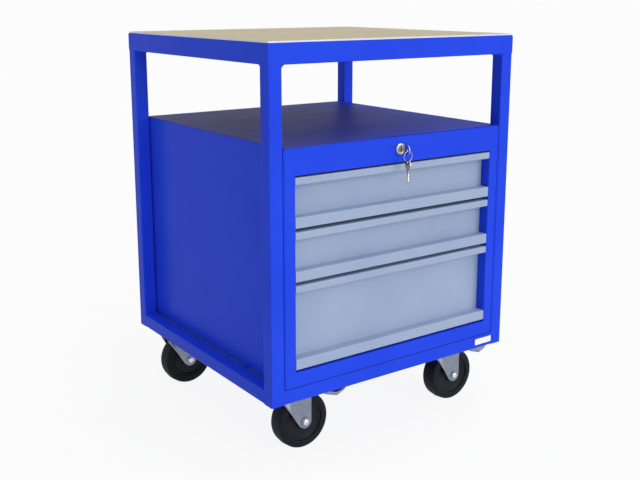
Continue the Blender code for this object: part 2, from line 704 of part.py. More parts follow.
def rim_profile():
    """The rim's section: a wide hub, a thin web and a flat bed under the tyre."""
    bore = AXLE_RADIUS + 2 * AXLE_GAP
    half = [
        (bore, HUB_WIDTH / 2),
        (HUB_RADIUS, HUB_WIDTH / 2),
        (HUB_RADIUS + RIM_EDGE / 2, WEB_WIDTH / 2),
        (RIM_RADIUS - RIM_EDGE, WEB_WIDTH / 2),
        (RIM_RADIUS - RIM_EDGE / 2, RIM_WIDTH / 2),
        (RIM_RADIUS, RIM_WIDTH / 2),
    ]
    return half + [(radius, -height) for radius, height in reversed(half)]


# Heights in a caster, counted from the floor
PLATE_TOP = CASTER_HEIGHT - FIT_GAP
CUP_TOP = PLATE_TOP - PLATE_THICKNESS
CUP_BOTTOM = CUP_TOP - CUP_HEIGHT
HEAD_TOP = CUP_BOTTOM - FIT_GAP
CROWN_TOP = HEAD_TOP - HEAD_HEIGHT
CROWN_BOTTOM = CROWN_TOP - FORK_SHEET
LEG_INSIDE = FORK_INSIDE_WIDTH / 2
LEG_OUTSIDE = LEG_INSIDE + FORK_SHEET
ALONG_AXLE = (math.pi / 2, 0.0, 0.0)


def caster(name, x, y, braked):
    """A swivel caster that trails towards +X: fixed plate, fork, axle, rim, tyre and brake pedal."""
    swivel = joint_empty(f"{name}_swivel", (x, y, 0.0), BENCH)

    half_length = PLATE_LENGTH / 2
    half_width = PLATE_WIDTH / 2
    plate = cuboid((-half_length, -half_width, CUP_TOP), (half_length, half_width, PLATE_TOP))
    round_edges(plate, edges_along(plate, 2), PLATE_CORNER_RADIUS, PLATE_CORNER_SEGMENTS)
    plate_object = mesh_object(f"{name}_plate", plate, ZINC, parent=swivel)
    head_top = CROWN_BOTTOM - FIT_GAP
    kingpin = (
        (0.0, CUP_TOP + PLATE_THICKNESS / 2),
        (CUP_RADIUS, CUP_TOP + PLATE_THICKNESS / 2),
        (CUP_RADIUS, CUP_BOTTOM),
        (KINGPIN_RADIUS, CUP_BOTTOM),
        (KINGPIN_RADIUS, head_top),
        (KINGPIN_HEAD_RADIUS, head_top),
        (KINGPIN_HEAD_RADIUS, head_top - KINGPIN_HEAD_HEIGHT),
        (0.0, head_top - KINGPIN_HEAD_HEIGHT),
    )
    tool_of(plate_object, spun(kingpin), "UNION")

    crown = cuboid(
        (-FORK_FRONT_REACH, -LEG_INSIDE - FORK_SHEET / 2, CROWN_BOTTOM),
        (FORK_REAR_REACH, LEG_INSIDE + FORK_SHEET / 2, CROWN_TOP),
    )
    fork = mesh_object(f"{name}_fork", crown, ZINC, parent=swivel)
    for side in (-1, 1):
        tool_of(fork, fork_leg(side), "UNION")
    tool_of(fork, rod(HEAD_RADIUS, CROWN_TOP - FORK_SHEET / 2, HEAD_TOP, "Z"), "UNION")
    pin_hole = rod(KINGPIN_RADIUS + 2 * KINGPIN_GAP, CROWN_BOTTOM - FORK_SHEET, HEAD_TOP + FORK_SHEET, "Z")
    tool_of(fork, pin_hole, "DIFFERENCE")
    axle_hole = rod(AXLE_RADIUS + FIT_GAP, -2 * LEG_OUTSIDE, 2 * LEG_OUTSIDE, "Y")
    bmesh.ops.translate(axle_hole, vec=(TRAIL, 0.0, WHEEL_RADIUS), verts=axle_hole.verts)
    tool_of(fork, axle_hole, "DIFFERENCE")

    wheel = joint_empty(f"{name}_wheel", (TRAIL, 0.0, WHEEL_RADIUS), parent=swivel)
    bolt_seat = LEG_OUTSIDE + FIT_GAP
    bolt_end = bolt_seat + BOLT_HEAD_HEIGHT
    turned_object(
        f"{name}_axle",
        (
            (0.0, bolt_end),
            (BOLT_HEAD_RADIUS, bolt_end),
            (BOLT_HEAD_RADIUS, bolt_seat),
            (AXLE_RADIUS, bolt_seat),
            (AXLE_RADIUS, -bolt_seat),
            (BOLT_HEAD_RADIUS, -bolt_seat),
            (BOLT_HEAD_RADIUS, -bolt_end),
            (0.0, -bolt_end),
        ),
        ZINC,
        closed=False,
        segments=ROUND_SEGMENTS,
        at=(0.0, 0.0, 0.0),
        turn=ALONG_AXLE,
        parent=wheel,
    )
    level_flat = (math.pi / 2, math.pi / WHEEL_SEGMENTS, 0.0)
    for piece, profile, material in (
        ("rim", rim_profile(), RIM_PLASTIC),
        ("tyre", rounded_wheel_profile(), RUBBER),
    ):
        turned_object(
            f"{name}_{piece}",
            profile,
            material,
            closed=True,
            segments=WHEEL_SEGMENTS,
            at=(0.0, 0.0, 0.0),
            turn=level_flat,
            parent=wheel,
        )
    if braked:
        pedal(name, swivel)


def spun(profile):
    """A solid turned round the Z axis, as a bmesh, from an open profile that ends on the axis."""
    shape = bmesh.new()
    points = [shape.verts.new((radius, 0.0, height)) for radius, height in profile]
    edges = [shape.edges.new(pair) for pair in zip(points, points[1:])]
    bmesh.ops.spin(
        shape,
        geom=points + edges,
        cent=(0.0, 0.0, 0.0),
        axis=(0.0, 0.0, 1.0),
        angle=2 * math.pi,
        steps=ROUND_SEGMENTS,
        use_merge=True,
    )
    bmesh.ops.remove_doubles(shape, verts=shape.verts, dist=MERGE_DISTANCE)
    bmesh.ops.recalc_face_normals(shape, faces=shape.faces)
    return shape


def fork_leg(side):
    """One leg of a fork: upright at the rear, and slanting in front from the crown to the axle's eye."""
    shoulder = CROWN_TOP - FORK_SHOULDER_HEIGHT
    run = -FORK_FRONT_REACH - TRAIL
    rise = shoulder - WHEEL_RADIUS
    tangent = math.atan2(rise, run) + math.acos(FORK_EYE_RADIUS / math.hypot(run, rise)) - 2 * math.pi
    outline = [(-FORK_FRONT_REACH, shoulder), (-FORK_FRONT_REACH, CROWN_TOP), (FORK_REAR_REACH, CROWN_TOP)]
    for step in range(FORK_EYE_STEPS + 1):
        angle = tangent * step / FORK_EYE_STEPS
        eye_x = TRAIL + FORK_EYE_RADIUS * math.cos(angle)
        outline.append((eye_x, WHEEL_RADIUS + FORK_EYE_RADIUS * math.sin(angle)))
    leg = bmesh.new()
    near = min(side * LEG_INSIDE, side * LEG_OUTSIDE)
    face = leg.faces.new([leg.verts.new((x, near, z)) for x, z in outline])
    drawn = bmesh.ops.extrude_face_region(leg, geom=[face])["geom"]
    moved = [item for item in drawn if isinstance(item, bmesh.types.BMVert)]
    bmesh.ops.translate(leg, vec=(0.0, FORK_SHEET, 0.0), verts=moved)
    bmesh.ops.recalc_face_normals(leg, faces=leg.faces)
    return leg


def pedal(name, swivel):
    """A brake pedal on a sleeve between the fork's legs, reaching out behind the wheel."""
    pivot_z = CROWN_BOTTOM - PEDAL_PIVOT_DROP
    made = folded_object(
        f"{name}_pedal",
        (
            (0.0, 0.0),
            (PEDAL_REACH, -PEDAL_FALL),
            (PEDAL_REACH + PEDAL_TIP_REACH, PEDAL_TIP_RISE - PEDAL_FALL),
        ),
        PEDAL_WIDTH,
        PEDAL_SHEET,
        PEDAL_BEND_RADIUS,
        ZINC,
        at=(PEDAL_PIVOT_X, 0.0, pivot_z),
        turn=(0.0, 0.0, -math.pi / 2),
        parent=swivel,
    )
    sleeve_half = LEG_INSIDE - FIT_GAP
    sleeve = rod(PEDAL_SLEEVE_RADIUS, -sleeve_half, sleeve_half, "X", segments=SMALL_ROUND_SEGMENTS)
    tool_of(made, sleeve, "UNION")


for row_name, row_y in CASTER_Y.items():
    for side_name, side in (("left", -1), ("right", 1)):
        caster(f"caster_{row_name}_{side_name}", side * CASTER_X[row_name], row_y, braked=row_name == "front")

# Round pieces are shaded smooth, with their sharp edges kept
SHARP_ANGLE = math.radians(35)
for made in PARTS.objects:
    if made.type == "MESH":
        made.data.shade_smooth()
        made.data.set_sharp_from_angle(angle=SHARP_ANGLE)
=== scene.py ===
# Looks of the mobile workbench: a welded blue tube frame on four casters, with a wooden worktop, an open
# shelf and a sheet-steel cabinet of three grey drawers. Metres, +Z up, drawers towards -Y.

import math

import bmesh
import bpy
from mathutils import Matrix, Vector


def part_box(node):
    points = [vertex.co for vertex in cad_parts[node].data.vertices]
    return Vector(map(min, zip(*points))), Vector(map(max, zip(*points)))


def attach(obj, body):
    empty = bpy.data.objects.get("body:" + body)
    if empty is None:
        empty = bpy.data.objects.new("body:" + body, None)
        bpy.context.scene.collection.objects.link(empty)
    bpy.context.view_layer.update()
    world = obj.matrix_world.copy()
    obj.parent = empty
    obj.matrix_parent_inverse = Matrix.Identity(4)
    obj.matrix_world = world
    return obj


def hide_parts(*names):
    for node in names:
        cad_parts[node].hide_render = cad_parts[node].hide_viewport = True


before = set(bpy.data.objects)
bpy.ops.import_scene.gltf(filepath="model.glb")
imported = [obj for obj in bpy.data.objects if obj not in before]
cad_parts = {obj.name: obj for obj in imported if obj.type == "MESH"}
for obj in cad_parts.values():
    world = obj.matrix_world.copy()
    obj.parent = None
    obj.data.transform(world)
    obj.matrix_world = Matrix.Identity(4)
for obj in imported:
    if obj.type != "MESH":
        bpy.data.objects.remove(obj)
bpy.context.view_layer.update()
scene = bpy.context.scene
scene.view_settings.view_transform = "Standard"


# Camera: eye level a little above the worktop, in front of the left-hand front post,
# with the picture raised slightly so that the casters stay in it.
camera_data = bpy.data.cameras.new("camera")
camera_data.lens = 52.081
camera_data.sensor_width = 36.0
camera_data.shift_y = -0.065
tilt_down = 12.257
turn_right = 35.475
camera = bpy.data.objects.new("camera", camera_data)
camera.location = (-1.2332, -1.7049, 0.9402)
camera.rotation_euler = (math.radians(90.0 - tilt_down), 0.0, math.radians(-turn_right))
scene.collection.objects.link(camera)
scene.camera = camera


# Studio: a white paper floor, an even white room and two broad soft lamps.
# One lamp stands low in front of the drawers, the other hangs over the worktop.
def linear(code):
    """A colour written as an sRGB hex code, as linear RGBA."""
    channels = [int(code[place:place + 2], 16) / 255 for place in (0, 2, 4)]
    return (*(c / 12.92 if c <= 0.04045 else ((c + 0.055) / 1.055) ** 2.4 for c in channels), 1.0)


def add_node(tree, kind, links=None, **settings):
    """One node with its settings. links gives each input a value, or the output that feeds it."""
    made = tree.nodes.new(kind)
    for name, value in settings.items():
        setattr(made, name, value)
    for name, value in (links or {}).items():
        if isinstance(value, bpy.types.NodeSocket):
            tree.links.new(value, made.inputs[name])
        else:
            made.inputs[name].default_value = value
    return made


def new_material(name):
    """An empty node material."""
    made = bpy.data.materials.new(name)
    made.use_nodes = True
    made.node_tree.nodes.clear()
    return made


def seen_directly(tree):
    """1 for a ray that shows the background itself or its mirror image, 0 for light on the object."""
    path = add_node(tree, "ShaderNodeLightPath")
    mirrored = add_node(
        tree, "ShaderNodeMath", {0: path.outputs["Is Glossy Ray"], 1: path.outputs["Is Transmission Ray"]},
        operation="MAXIMUM",
    )
    seen = add_node(
        tree, "ShaderNodeMath", {0: path.outputs["Is Camera Ray"], 1: mirrored.outputs[0]},
        operation="MAXIMUM",
    )
    return seen.outputs[0]


floor_half = 150.0
plain_white_share = 0.90
paper = new_material("white_backdrop_paper")
tree = paper.node_tree
matt = add_node(tree, "ShaderNodeBsdfDiffuse", {"Color": linear("F4F4F4")})
white = add_node(tree, "ShaderNodeEmission", {"Color": (1.0, 1.0, 1.0, 1.0), "Strength": 1.0})
share = add_node(tree, "ShaderNodeMath", {0: seen_directly(tree), 1: plain_white_share}, operation="MULTIPLY")
mixed = add_node(
    tree, "ShaderNodeMixShader", {0: share.outputs[0], 1: matt.outputs[0], 2: white.outputs[0]}
)
add_node(tree, "ShaderNodeOutputMaterial", {"Surface": mixed.outputs[0]})
shape = bmesh.new()
bmesh.ops.create_grid(shape, x_segments=1, y_segments=1, size=floor_half)
mesh = bpy.data.meshes.new("floor")
shape.to_mesh(mesh)
shape.free()
floor = bpy.data.objects.new("floor", mesh)
floor.data.materials.append(paper)
scene.collection.objects.link(floor)

room = bpy.data.worlds.new("room")
scene.world = room
room.use_nodes = True
tree = room.node_tree
tree.nodes.clear()
room_light = 0.34
backdrop_level = 0.975
level = add_node(
    tree, "ShaderNodeMapRange",
    {"Value": seen_directly(tree), "To Min": room_light, "To Max": backdrop_level},
)
surround = add_node(
    tree, "ShaderNodeBackground", {"Color": (1.0, 1.0, 1.0, 1.0), "Strength": level.outputs[0]}
)
add_node(tree, "ShaderNodeOutputWorld", {"Surface": surround.outputs[0]})

for name, bearing, height, strength, spread in (
    ("front_lamp", 12.0, 14.0, 1.72, 50.0),
    ("overhead_lamp", 40.0, 78.0, 1.10, 70.0),
):
    lamp_data = bpy.data.lights.new(name, "SUN")
    lamp_data.energy = strength
    lamp_data.angle = math.radians(spread)
    lamp = bpy.data.objects.new(name, lamp_data)
    lamp.rotation_euler = (math.radians(90.0 - height), 0.0, math.radians(bearing))
    scene.collection.objects.link(lamp)


# Frame: upright tubes under a mitred ring of top rails, with a ring of lower rails and two flat crossbars.
# Square steel tube, welded, the seams ground flush outside and left as small fillets under the top rails,
# then powder coated royal blue as one piece.
MM = 0.001


# Powder coat flows as it cures, so it has a soft gloss and a fine pebbled skin, "orange peel", with slight
# changes of gloss. The pebbles are drawn 3 mm wide, coarser than real ones, so that they show at all.
def powder_coat(name, cloud_size, dark, light, gloss_range, pebble_strength, specular):
    """A cured powder coat: a pebbled skin over slow changes of tone."""
    made = new_material(name)
    tree = made.node_tree
    place = add_node(tree, "ShaderNodeTexCoord").outputs["Object"]
    pebbles = add_node(
        tree, "ShaderNodeTexNoise",
        {"Vector": place, "Scale": 1 / (3.0 * MM), "Detail": 2.0, "Roughness": 0.5},
    )
    cloud = add_node(tree, "ShaderNodeTexNoise", {"Vector": place, "Scale": 1 / cloud_size, "Detail": 2.0})
    tone = add_node(tree, "ShaderNodeValToRGB", {"Fac": cloud.outputs["Fac"]})
    tone.color_ramp.elements[0].position = 0.3
    tone.color_ramp.elements[0].color = linear(dark)
    tone.color_ramp.elements[1].position = 0.7
    tone.color_ramp.elements[1].color = linear(light)
    gloss = add_node(
        tree, "ShaderNodeMapRange",
        {
            "Value": pebbles.outputs["Fac"], "From Min": 0.3, "From Max": 0.7,
            "To Min": gloss_range[0], "To Max": gloss_range[1],
        },
    )
    skin = add_node(
        tree, "ShaderNodeBump",
        {"Height": pebbles.outputs["Fac"], "Strength": pebble_strength, "Distance": 0.2 * MM},
    )
    coat = add_node(
        tree, "ShaderNodeBsdfPrincipled",
        {
            "Base Color": tone.outputs["Color"],
            "Roughness": gloss.outputs[0],
            "Specular IOR Level": specular,
            "Normal": skin.outputs["Normal"],
        },
    )
    add_node(tree, "ShaderNodeOutputMaterial", {"Surface": coat.outputs[0]})
    return made


blue_coat = powder_coat(
    "blue_powder_coat", 160 * MM, "2346E1", "274BE7", gloss_range=(0.28, 0.36), pebble_strength=0.05,
    specular=0.05,
)


def finish_nodes(material, *names):
    """Gives CAD nodes their finish."""
    for name in names:
        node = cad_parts[name]
        for place_of_finish in node.material_slots:
            place_of_finish.material = material


def add_piece(name, shape, material, body, replaced=(), sharp=40.0):
    """A finished piece from a bmesh, smooth but for its sharp edges, riding on a body."""
    mesh = bpy.data.meshes.new(name)
    shape.to_mesh(mesh)
    shape.free()
    mesh.materials.append(material)
    mesh.shade_smooth()
    mesh.set_sharp_from_angle(angle=math.radians(sharp))
    made = bpy.data.objects.new(name, mesh)
    scene.collection.objects.link(made)
    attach(made, body)
    if replaced:
        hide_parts(*replaced)
    return made


def moved(geometry):
    """The vertices among what an operator returned."""
    return [item for item in geometry if isinstance(item, bmesh.types.BMVert)]


def placed(shape, matrix):
    """Turns and moves a bmesh into its place."""
    bmesh.ops.transform(shape, matrix=matrix, verts=shape.verts)


def rounded(shape, corners, radius, segments=2, affect="EDGES"):
    """Rounds off edges of a bmesh, or corners of a flat one."""
    bmesh.ops.bevel(
        shape, geom=corners, offset=radius, segments=segments, profile=0.5, affect=affect, material=-1
    )


def drawn_out(shape, way):
    """Draws the flat faces of a bmesh out into a solid."""
    drawn = bmesh.ops.extrude_face_region(shape, geom=shape.faces[:])["geom"]
    bmesh.ops.translate(shape, vec=way, verts=moved(drawn))
    bmesh.ops.recalc_face_normals(shape, faces=shape.faces)


def block(low, high, round_axis=None, radius=0.0, segments=4):
    """A cuboid between two corners, with rounded edges along one axis if wanted."""
    shape = bmesh.new()
    bmesh.ops.create_cube(shape, size=1.0)
    bmesh.ops.scale(shape, vec=Vector(high) - Vector(low), verts=shape.verts)
    bmesh.ops.translate(shape, vec=Vector(low).lerp(Vector(high), 0.5), verts=shape.verts)
    if round_axis is not None:
        along = []
        for edge in shape.edges:
            run = (edge.verts[0].co - edge.verts[1].co).normalized()
            if abs(run[round_axis]) > 0.9:
                along.append(edge)
        rounded(shape, along, radius, segments)
    return shape


def joined(*shapes):
    """Several bmeshes as one."""
    whole = bmesh.new()
    for shape in shapes:
        part_mesh = bpy.data.meshes.new("part")
        shape.to_mesh(part_mesh)
        shape.free()
        whole.from_mesh(part_mesh)
        bpy.data.meshes.remove(part_mesh)
    return whole


SIDES = ("front", "right", "rear", "left")
finish_nodes(
    blue_coat,
    *(f"post_{row}_{side}" for row in ("front", "rear") for side in ("left", "right")),
    *(f"{level}_rail_{side}" for level in ("top", "bottom") for side in SIDES),
    "caster_crossbar_front",
    "caster_crossbar_rear",
)

post_low, post_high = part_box("post_front_left")
far_low, far_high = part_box("post_rear_right")
rail_low, rail_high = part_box("top_rail_front")
tube = post_high[0] - post_low[0]
bench_x = (post_low[0] + far_high[0]) / 2
front_y = post_low[1]
rear_y = far_high[1]
middle_y = (front_y + rear_y) / 2

# Fillets lie in the corners between the posts and the undersides of the top rails.
fillet_radius = 6 * MM
fillet_width = tube - 5 * MM
fillets = []
for turn, reach_along, reach_across in (
    (0.0, (far_low[0] - post_high[0]) / 2, (rear_y - front_y - tube) / 2),
    (90.0, (far_low[1] - post_high[1]) / 2, (far_high[0] - post_low[0] - tube) / 2),
):
    for end in (-1, 1):
        for row in (-1, 1):
            fillet = bmesh.new()
            start = fillet.verts.new((0.0, -fillet_width / 2, -fillet_radius))
            bmesh.ops.spin(
                fillet, geom=[start], cent=(fillet_radius, 0.0, -fillet_radius), axis=(0.0, 1.0, 0.0),
                angle=math.pi / 2, steps=6,
            )
            fillet.verts.new((0.0, -fillet_width / 2, 0.0))
            bmesh.ops.contextual_create(fillet, geom=fillet.verts[:])
            drawn_out(fillet, (0.0, fillet_width, 0.0))
            facing = Matrix.Rotation(math.pi if end > 0 else 0.0, 4, "Z")
            corner = Matrix.Translation((end * reach_along, row * reach_across, 0.0)) @ facing
            spot = Matrix.Translation((bench_x, middle_y, rail_low[2]))
            placed(fillet, spot @ Matrix.Rotation(math.radians(turn), 4, "Z") @ corner)
            fillets.append(fillet)
add_piece("frame_weld_fillets", joined(*fillets), blue_coat, "bench")

# Ground welds: a faint raised band round each joint and down each mitre, and filler where the rounded corner
# of one tube would leave a groove along the face of the next.
seam_half = 0.5 * MM
seam_proud = 0.06 * MM
proud = Vector((seam_proud, seam_proud, seam_proud))
tube_corner = 2.5 * MM
ground_proud = 0.1 * MM
welds = []
for row in ("front", "rear"):
    for side in ("left", "right"):
        low, high = (Vector(corner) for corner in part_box(f"post_{row}_{side}"))
        seam_low = Vector((low.x, low.y, high.z - seam_half)) - proud
        seam_high = Vector((high.x, high.y, high.z + seam_half)) + proud
        welds.append(block(seam_low, seam_high, 2, tube_corner))
        corner_x = low.x if side == "left" else high.x
        corner_y = low.y if row == "front" else high.y
        inner_x = corner_x + math.copysign(seam_half, bench_x - corner_x)
        inner_y = corner_y + math.copysign(seam_half, middle_y - corner_y)
        mitre_x = sorted((corner_x, inner_x))
        mitre_y = sorted((corner_y, inner_y))
        mitre_low = Vector((mitre_x[0], mitre_y[0], rail_low[2] + tube_corner)) - proud
        mitre_high = Vector((mitre_x[1], mitre_y[1], rail_high[2] - tube_corner)) + proud
        welds.append(block(mitre_low, mitre_high))
        for axis, face in ((0, corner_x), (1, corner_y)):
            groove_low = Vector((low.x, low.y, rail_low[2] - 2 * seam_half))
            groove_high = Vector((high.x, high.y, rail_low[2] + tube_corner))
            inwards = tube_corner if face == low[axis] else -tube_corner
            groove_low[axis] = min(face, face + inwards) - ground_proud
            groove_high[axis] = max(face, face + inwards) + ground_proud
            outer = corner_y if axis == 0 else corner_x
            if outer == low[1 - axis]:
                groove_low[1 - axis] += tube_corner
            else:
                groove_high[1 - axis] -= tube_corner
            welds.append(block(groove_low, groove_high))
for side in SIDES:
    low, high = (Vector(corner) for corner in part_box(f"bottom_rail_{side}"))
    axis = 0 if side in ("front", "rear") else 1
    for end in (low, high):
        seam_low = low - proud
        seam_high = high + proud
        seam_low[axis] = end[axis] - seam_half
        seam_high[axis] = end[axis] + seam_half
        welds.append(block(seam_low, seam_high, axis, tube_corner))
        across = 1 - axis
        groove_low = low - proud
        groove_high = high + proud
        beyond = end[axis] + (tube_corner if end is high else -tube_corner)
        groove_low[axis] = min(end[axis], beyond) - seam_half
        groove_high[axis] = max(end[axis], beyond) + seam_half
        if side in ("front", "left"):
            groove_low[across] = low[across] - ground_proud
            groove_high[across] = low[across] + tube_corner
        else:
            groove_low[across] = high[across] - tube_corner
            groove_high[across] = high[across] + ground_proud
        groove_low.z = low.z + tube_corner / 2
        groove_high.z = high.z - tube_corner / 2
        welds.append(block(groove_low, groove_high))
add_piece("frame_ground_welds", joined(*welds), blue_coat, "bench")


# Worktop: one board let into the top rails and resting on their strips.
# Beech plywood, sanded and oiled, with the grain along the front edge.
# Oiled beech is a dull greyish tan with long faint streaks a few mm wide, short darker flecks and hardly any
# gloss.
beech = new_material("oiled_beech_plywood")
tree = beech.node_tree
place = add_node(tree, "ShaderNodeTexCoord").outputs["Object"]
along = add_node(tree, "ShaderNodeMapping", {"Vector": place, "Scale": (1.0, 16.0, 16.0)})
warp = add_node(tree, "ShaderNodeTexNoise", {"Vector": place, "Scale": 1 / (220 * MM), "Detail": 1.0})
bent = add_node(
    tree, "ShaderNodeMix", {"Factor": 0.02, 4: along.outputs[0], 5: warp.outputs["Color"]}, data_type="VECTOR"
)
streaks = add_node(
    tree, "ShaderNodeTexNoise",
    {"Vector": bent.outputs[1], "Scale": 1 / (240 * MM), "Detail": 5.0, "Roughness": 0.62},
)
figure = add_node(tree, "ShaderNodeValToRGB", {"Fac": streaks.outputs["Fac"]})
figure.color_ramp.elements[0].position = 0.32
figure.color_ramp.elements[0].color = linear("AFA182")
figure.color_ramp.elements[1].position = 0.68
figure.color_ramp.elements[1].color = linear("C9BDA0")
fleck_map = add_node(tree, "ShaderNodeMapping", {"Vector": place, "Scale": (1.0, 9.0, 9.0)})
flecks = add_node(
    tree, "ShaderNodeTexNoise",
    {"Vector": fleck_map.outputs[0], "Scale": 1 / (22 * MM), "Detail": 1.0},
)
fleck_share = add_node(
    tree, "ShaderNodeMapRange",
    {"Value": flecks.outputs["Fac"], "From Min": 0.60, "From Max": 0.74, "To Min": 0.0, "To Max": 0.35},
)
flecked = add_node(
    tree, "ShaderNodeMix",
    {0: fleck_share.outputs[0], 6: figure.outputs["Color"], 7: linear("988665")}, data_type="RGBA",
)
fibre = add_node(
    tree, "ShaderNodeBump", {"Height": streaks.outputs["Fac"], "Strength": 0.15, "Distance": 0.3 * MM}
)
dull = add_node(
    tree, "ShaderNodeMapRange", {"Value": streaks.outputs["Fac"], "To Min": 0.50, "To Max": 0.66}
)
oiled = add_node(
    tree, "ShaderNodeBsdfPrincipled",
    {
        "Base Color": flecked.outputs[2],
        "Roughness": dull.outputs[0],
        "Specular IOR Level": 0.4,
        "Normal": fibre.outputs["Normal"],
    },
)
add_node(tree, "ShaderNodeOutputMaterial", {"Surface": oiled.outputs[0]})
finish_nodes(beech, "worktop_board")


# The board's edge is banded with melamine, a smooth cool white with a faint mottle.
def patchy_finish(
    name, patch, detail, tones, roughness, tone_stops=(0.0, 1.0), gloss_stops=(0.0, 1.0), grain=None,
    metallic=0.0, specular=0.5,
):
    """A finish whose tone and gloss vary together in patches of one size, with a grain if it has one."""
    made = new_material(name)
    tree = made.node_tree
    place = add_node(tree, "ShaderNodeTexCoord").outputs["Object"]
    patches = add_node(tree, "ShaderNodeTexNoise", {"Vector": place, "Scale": 1 / patch, "Detail": detail})
    tone = add_node(tree, "ShaderNodeValToRGB", {"Fac": patches.outputs["Fac"]})
    for element, stop, code in zip(tone.color_ramp.elements, tone_stops, tones):
        element.position = stop
        element.color = linear(code)
    gloss = add_node(
        tree, "ShaderNodeMapRange",
        {
            "Value": patches.outputs["Fac"], "From Min": gloss_stops[0], "From Max": gloss_stops[1],
            "To Min": roughness[0], "To Max": roughness[1],
        },
    )
    outer = add_node(
        tree, "ShaderNodeBsdfPrincipled",
        {
            "Base Color": tone.outputs["Color"],
            "Metallic": metallic,
            "Roughness": gloss.outputs[0],
            "Specular IOR Level": specular,
        },
    )
    if grain:
        size, grain_detail, strength, depth = grain
        grit = add_node(
            tree, "ShaderNodeTexNoise", {"Vector": place, "Scale": 1 / size, "Detail": grain_detail}
        )
        skin = add_node(
            tree, "ShaderNodeBump", {"Height": grit.outputs["Fac"], "Strength": strength, "Distance": depth}
        )
        tree.links.new(skin.outputs["Normal"], outer.inputs["Normal"])
    add_node(tree, "ShaderNodeOutputMaterial", {"Surface": outer.outputs[0]})
    return made


melamine = patchy_finish("white_melamine", 12 * MM, 2.0, ("DDDEE6", "EBECF2"), roughness=(0.4, 0.4))
board_low, board_high = (Vector(corner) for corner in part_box("worktop_board"))
band = 0.6 * MM
band_foot_gap = 0.1 * MM
band_head_gap = 0.15 * MM
band_low = rail_high[2] + band_foot_gap
band_high = board_high.z - band_head_gap
edge_band = joined(
    *(
        block((low_x, low_y, band_low), (high_x, high_y, band_high))
        for low_x, low_y, high_x, high_y in (
            (board_low.x - band, board_low.y - band, board_high.x + band, board_low.y),
            (board_low.x - band, board_high.y, board_high.x + band, board_high.y + band),
            (board_low.x - band, board_low.y, board_low.x, board_high.y),
            (board_high.x, board_low.y, board_high.x + band, board_high.y),
        )
    )
)
add_piece("worktop_edge_band", edge_band, melamine, "bench")


# Cabinet: two sides, back, base, top and a folded front surround, set between the posts.
# Sheet steel 1.5 mm thick, held to the frame by small welded tabs and coated with it.
cabinet_sheets = ("left_side", "right_side", "back", "base", "front_frame")
finish_nodes(blue_coat, *(f"cabinet_{sheet}" for sheet in cabinet_sheets))

# The face's side edges are folded back, each fold a rounded blue edge that leaves a narrow gap to the post.
face_low, face_high = (Vector(corner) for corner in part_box("cabinet_front_frame"))
fold_width = 2 * MM
fold_depth = 12 * MM
fold_round = 0.8 * MM
fold_overlap = 0.2 * MM
fold_set_back = 0.25 * MM
fold_foot_gap = 1 * MM
fold_head_gap = 0.3 * MM
folds = []
for edge_x, outwards in ((face_low.x, -1), (face_high.x, 1)):
    ends = sorted((edge_x - outwards * fold_overlap, edge_x + outwards * fold_width))
    folds.append(
        block(
            (ends[0], face_low.y + fold_set_back, face_low.z + fold_foot_gap),
            (ends[1], face_low.y + fold_depth, face_high.z - fold_head_gap),
            2, fold_round, 3,
        )
    )
add_piece("cabinet_face_folds", joined(*folds), blue_coat, "bench")

# Thin black strips between the face and the lower rail and along the top of the drawer opening are painted
# shadow lines:
# dark foam strips set where the seams hold only shade. The foam is a matt black with fine open cells, drawn
# 0.8 mm wide so that they show.
shadow_line_foam = new_material("black_foam_painted_shadow_line")
tree = shadow_line_foam.node_tree
place = add_node(tree, "ShaderNodeTexCoord").outputs["Object"]
cells = add_node(tree, "ShaderNodeTexVoronoi", {"Vector": place, "Scale": 1 / (0.8 * MM)})
tone = add_node(tree, "ShaderNodeValToRGB", {"Fac": cells.outputs["Distance"]})
tone.color_ramp.elements[0].color = linear("101018")
tone.color_ramp.elements[1].color = linear("20212C")
matt_shadow_line_foam = add_node(
    tree, "ShaderNodeBsdfPrincipled",
    {"Base Color": tone.outputs["Color"], "Roughness": 0.9, "Specular IOR Level": 0.1},
)
add_node(tree, "ShaderNodeOutputMaterial", {"Surface": matt_shadow_line_foam.outputs[0]})
shadow_line_proud = 0.08 * MM
shadow_line_y = face_low.y - shadow_line_proud
shadow_line_half = 0.5 * MM
strip_inset = 1 * MM
strip_depth = 10 * MM
# Painted shadow line along the seam between the face and the lower rail.
shadow_line_under_face = block(
    (face_low.x + strip_inset, shadow_line_y, face_low.z - shadow_line_half),
    (face_high.x - strip_inset, face_low.y + strip_depth, face_low.z + shadow_line_half),
)
drawer_low, drawer_high = (Vector(corner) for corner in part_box("drawer_top_front"))
gap_above = 1.5 * MM
gap_beside = 0.8 * MM
opening_top = drawer_high.z + gap_above
shadow_line_height = 2 * MM
shadow_line_depth = 8 * MM
shadow_line_hang = 0.1 * MM
# Painted shadow line along the top of the drawer opening, above the top drawer.
shadow_line_over_drawer = block(
    (drawer_low.x - gap_beside, shadow_line_y, opening_top - shadow_line_hang),
    (drawer_high.x + gap_beside, face_low.y + shadow_line_depth, opening_top + shadow_line_height),
)
add_piece("cabinet_painted_shadow_lines", joined(shadow_line_under_face, shadow_line_over_drawer), shadow_line_foam, "bench")

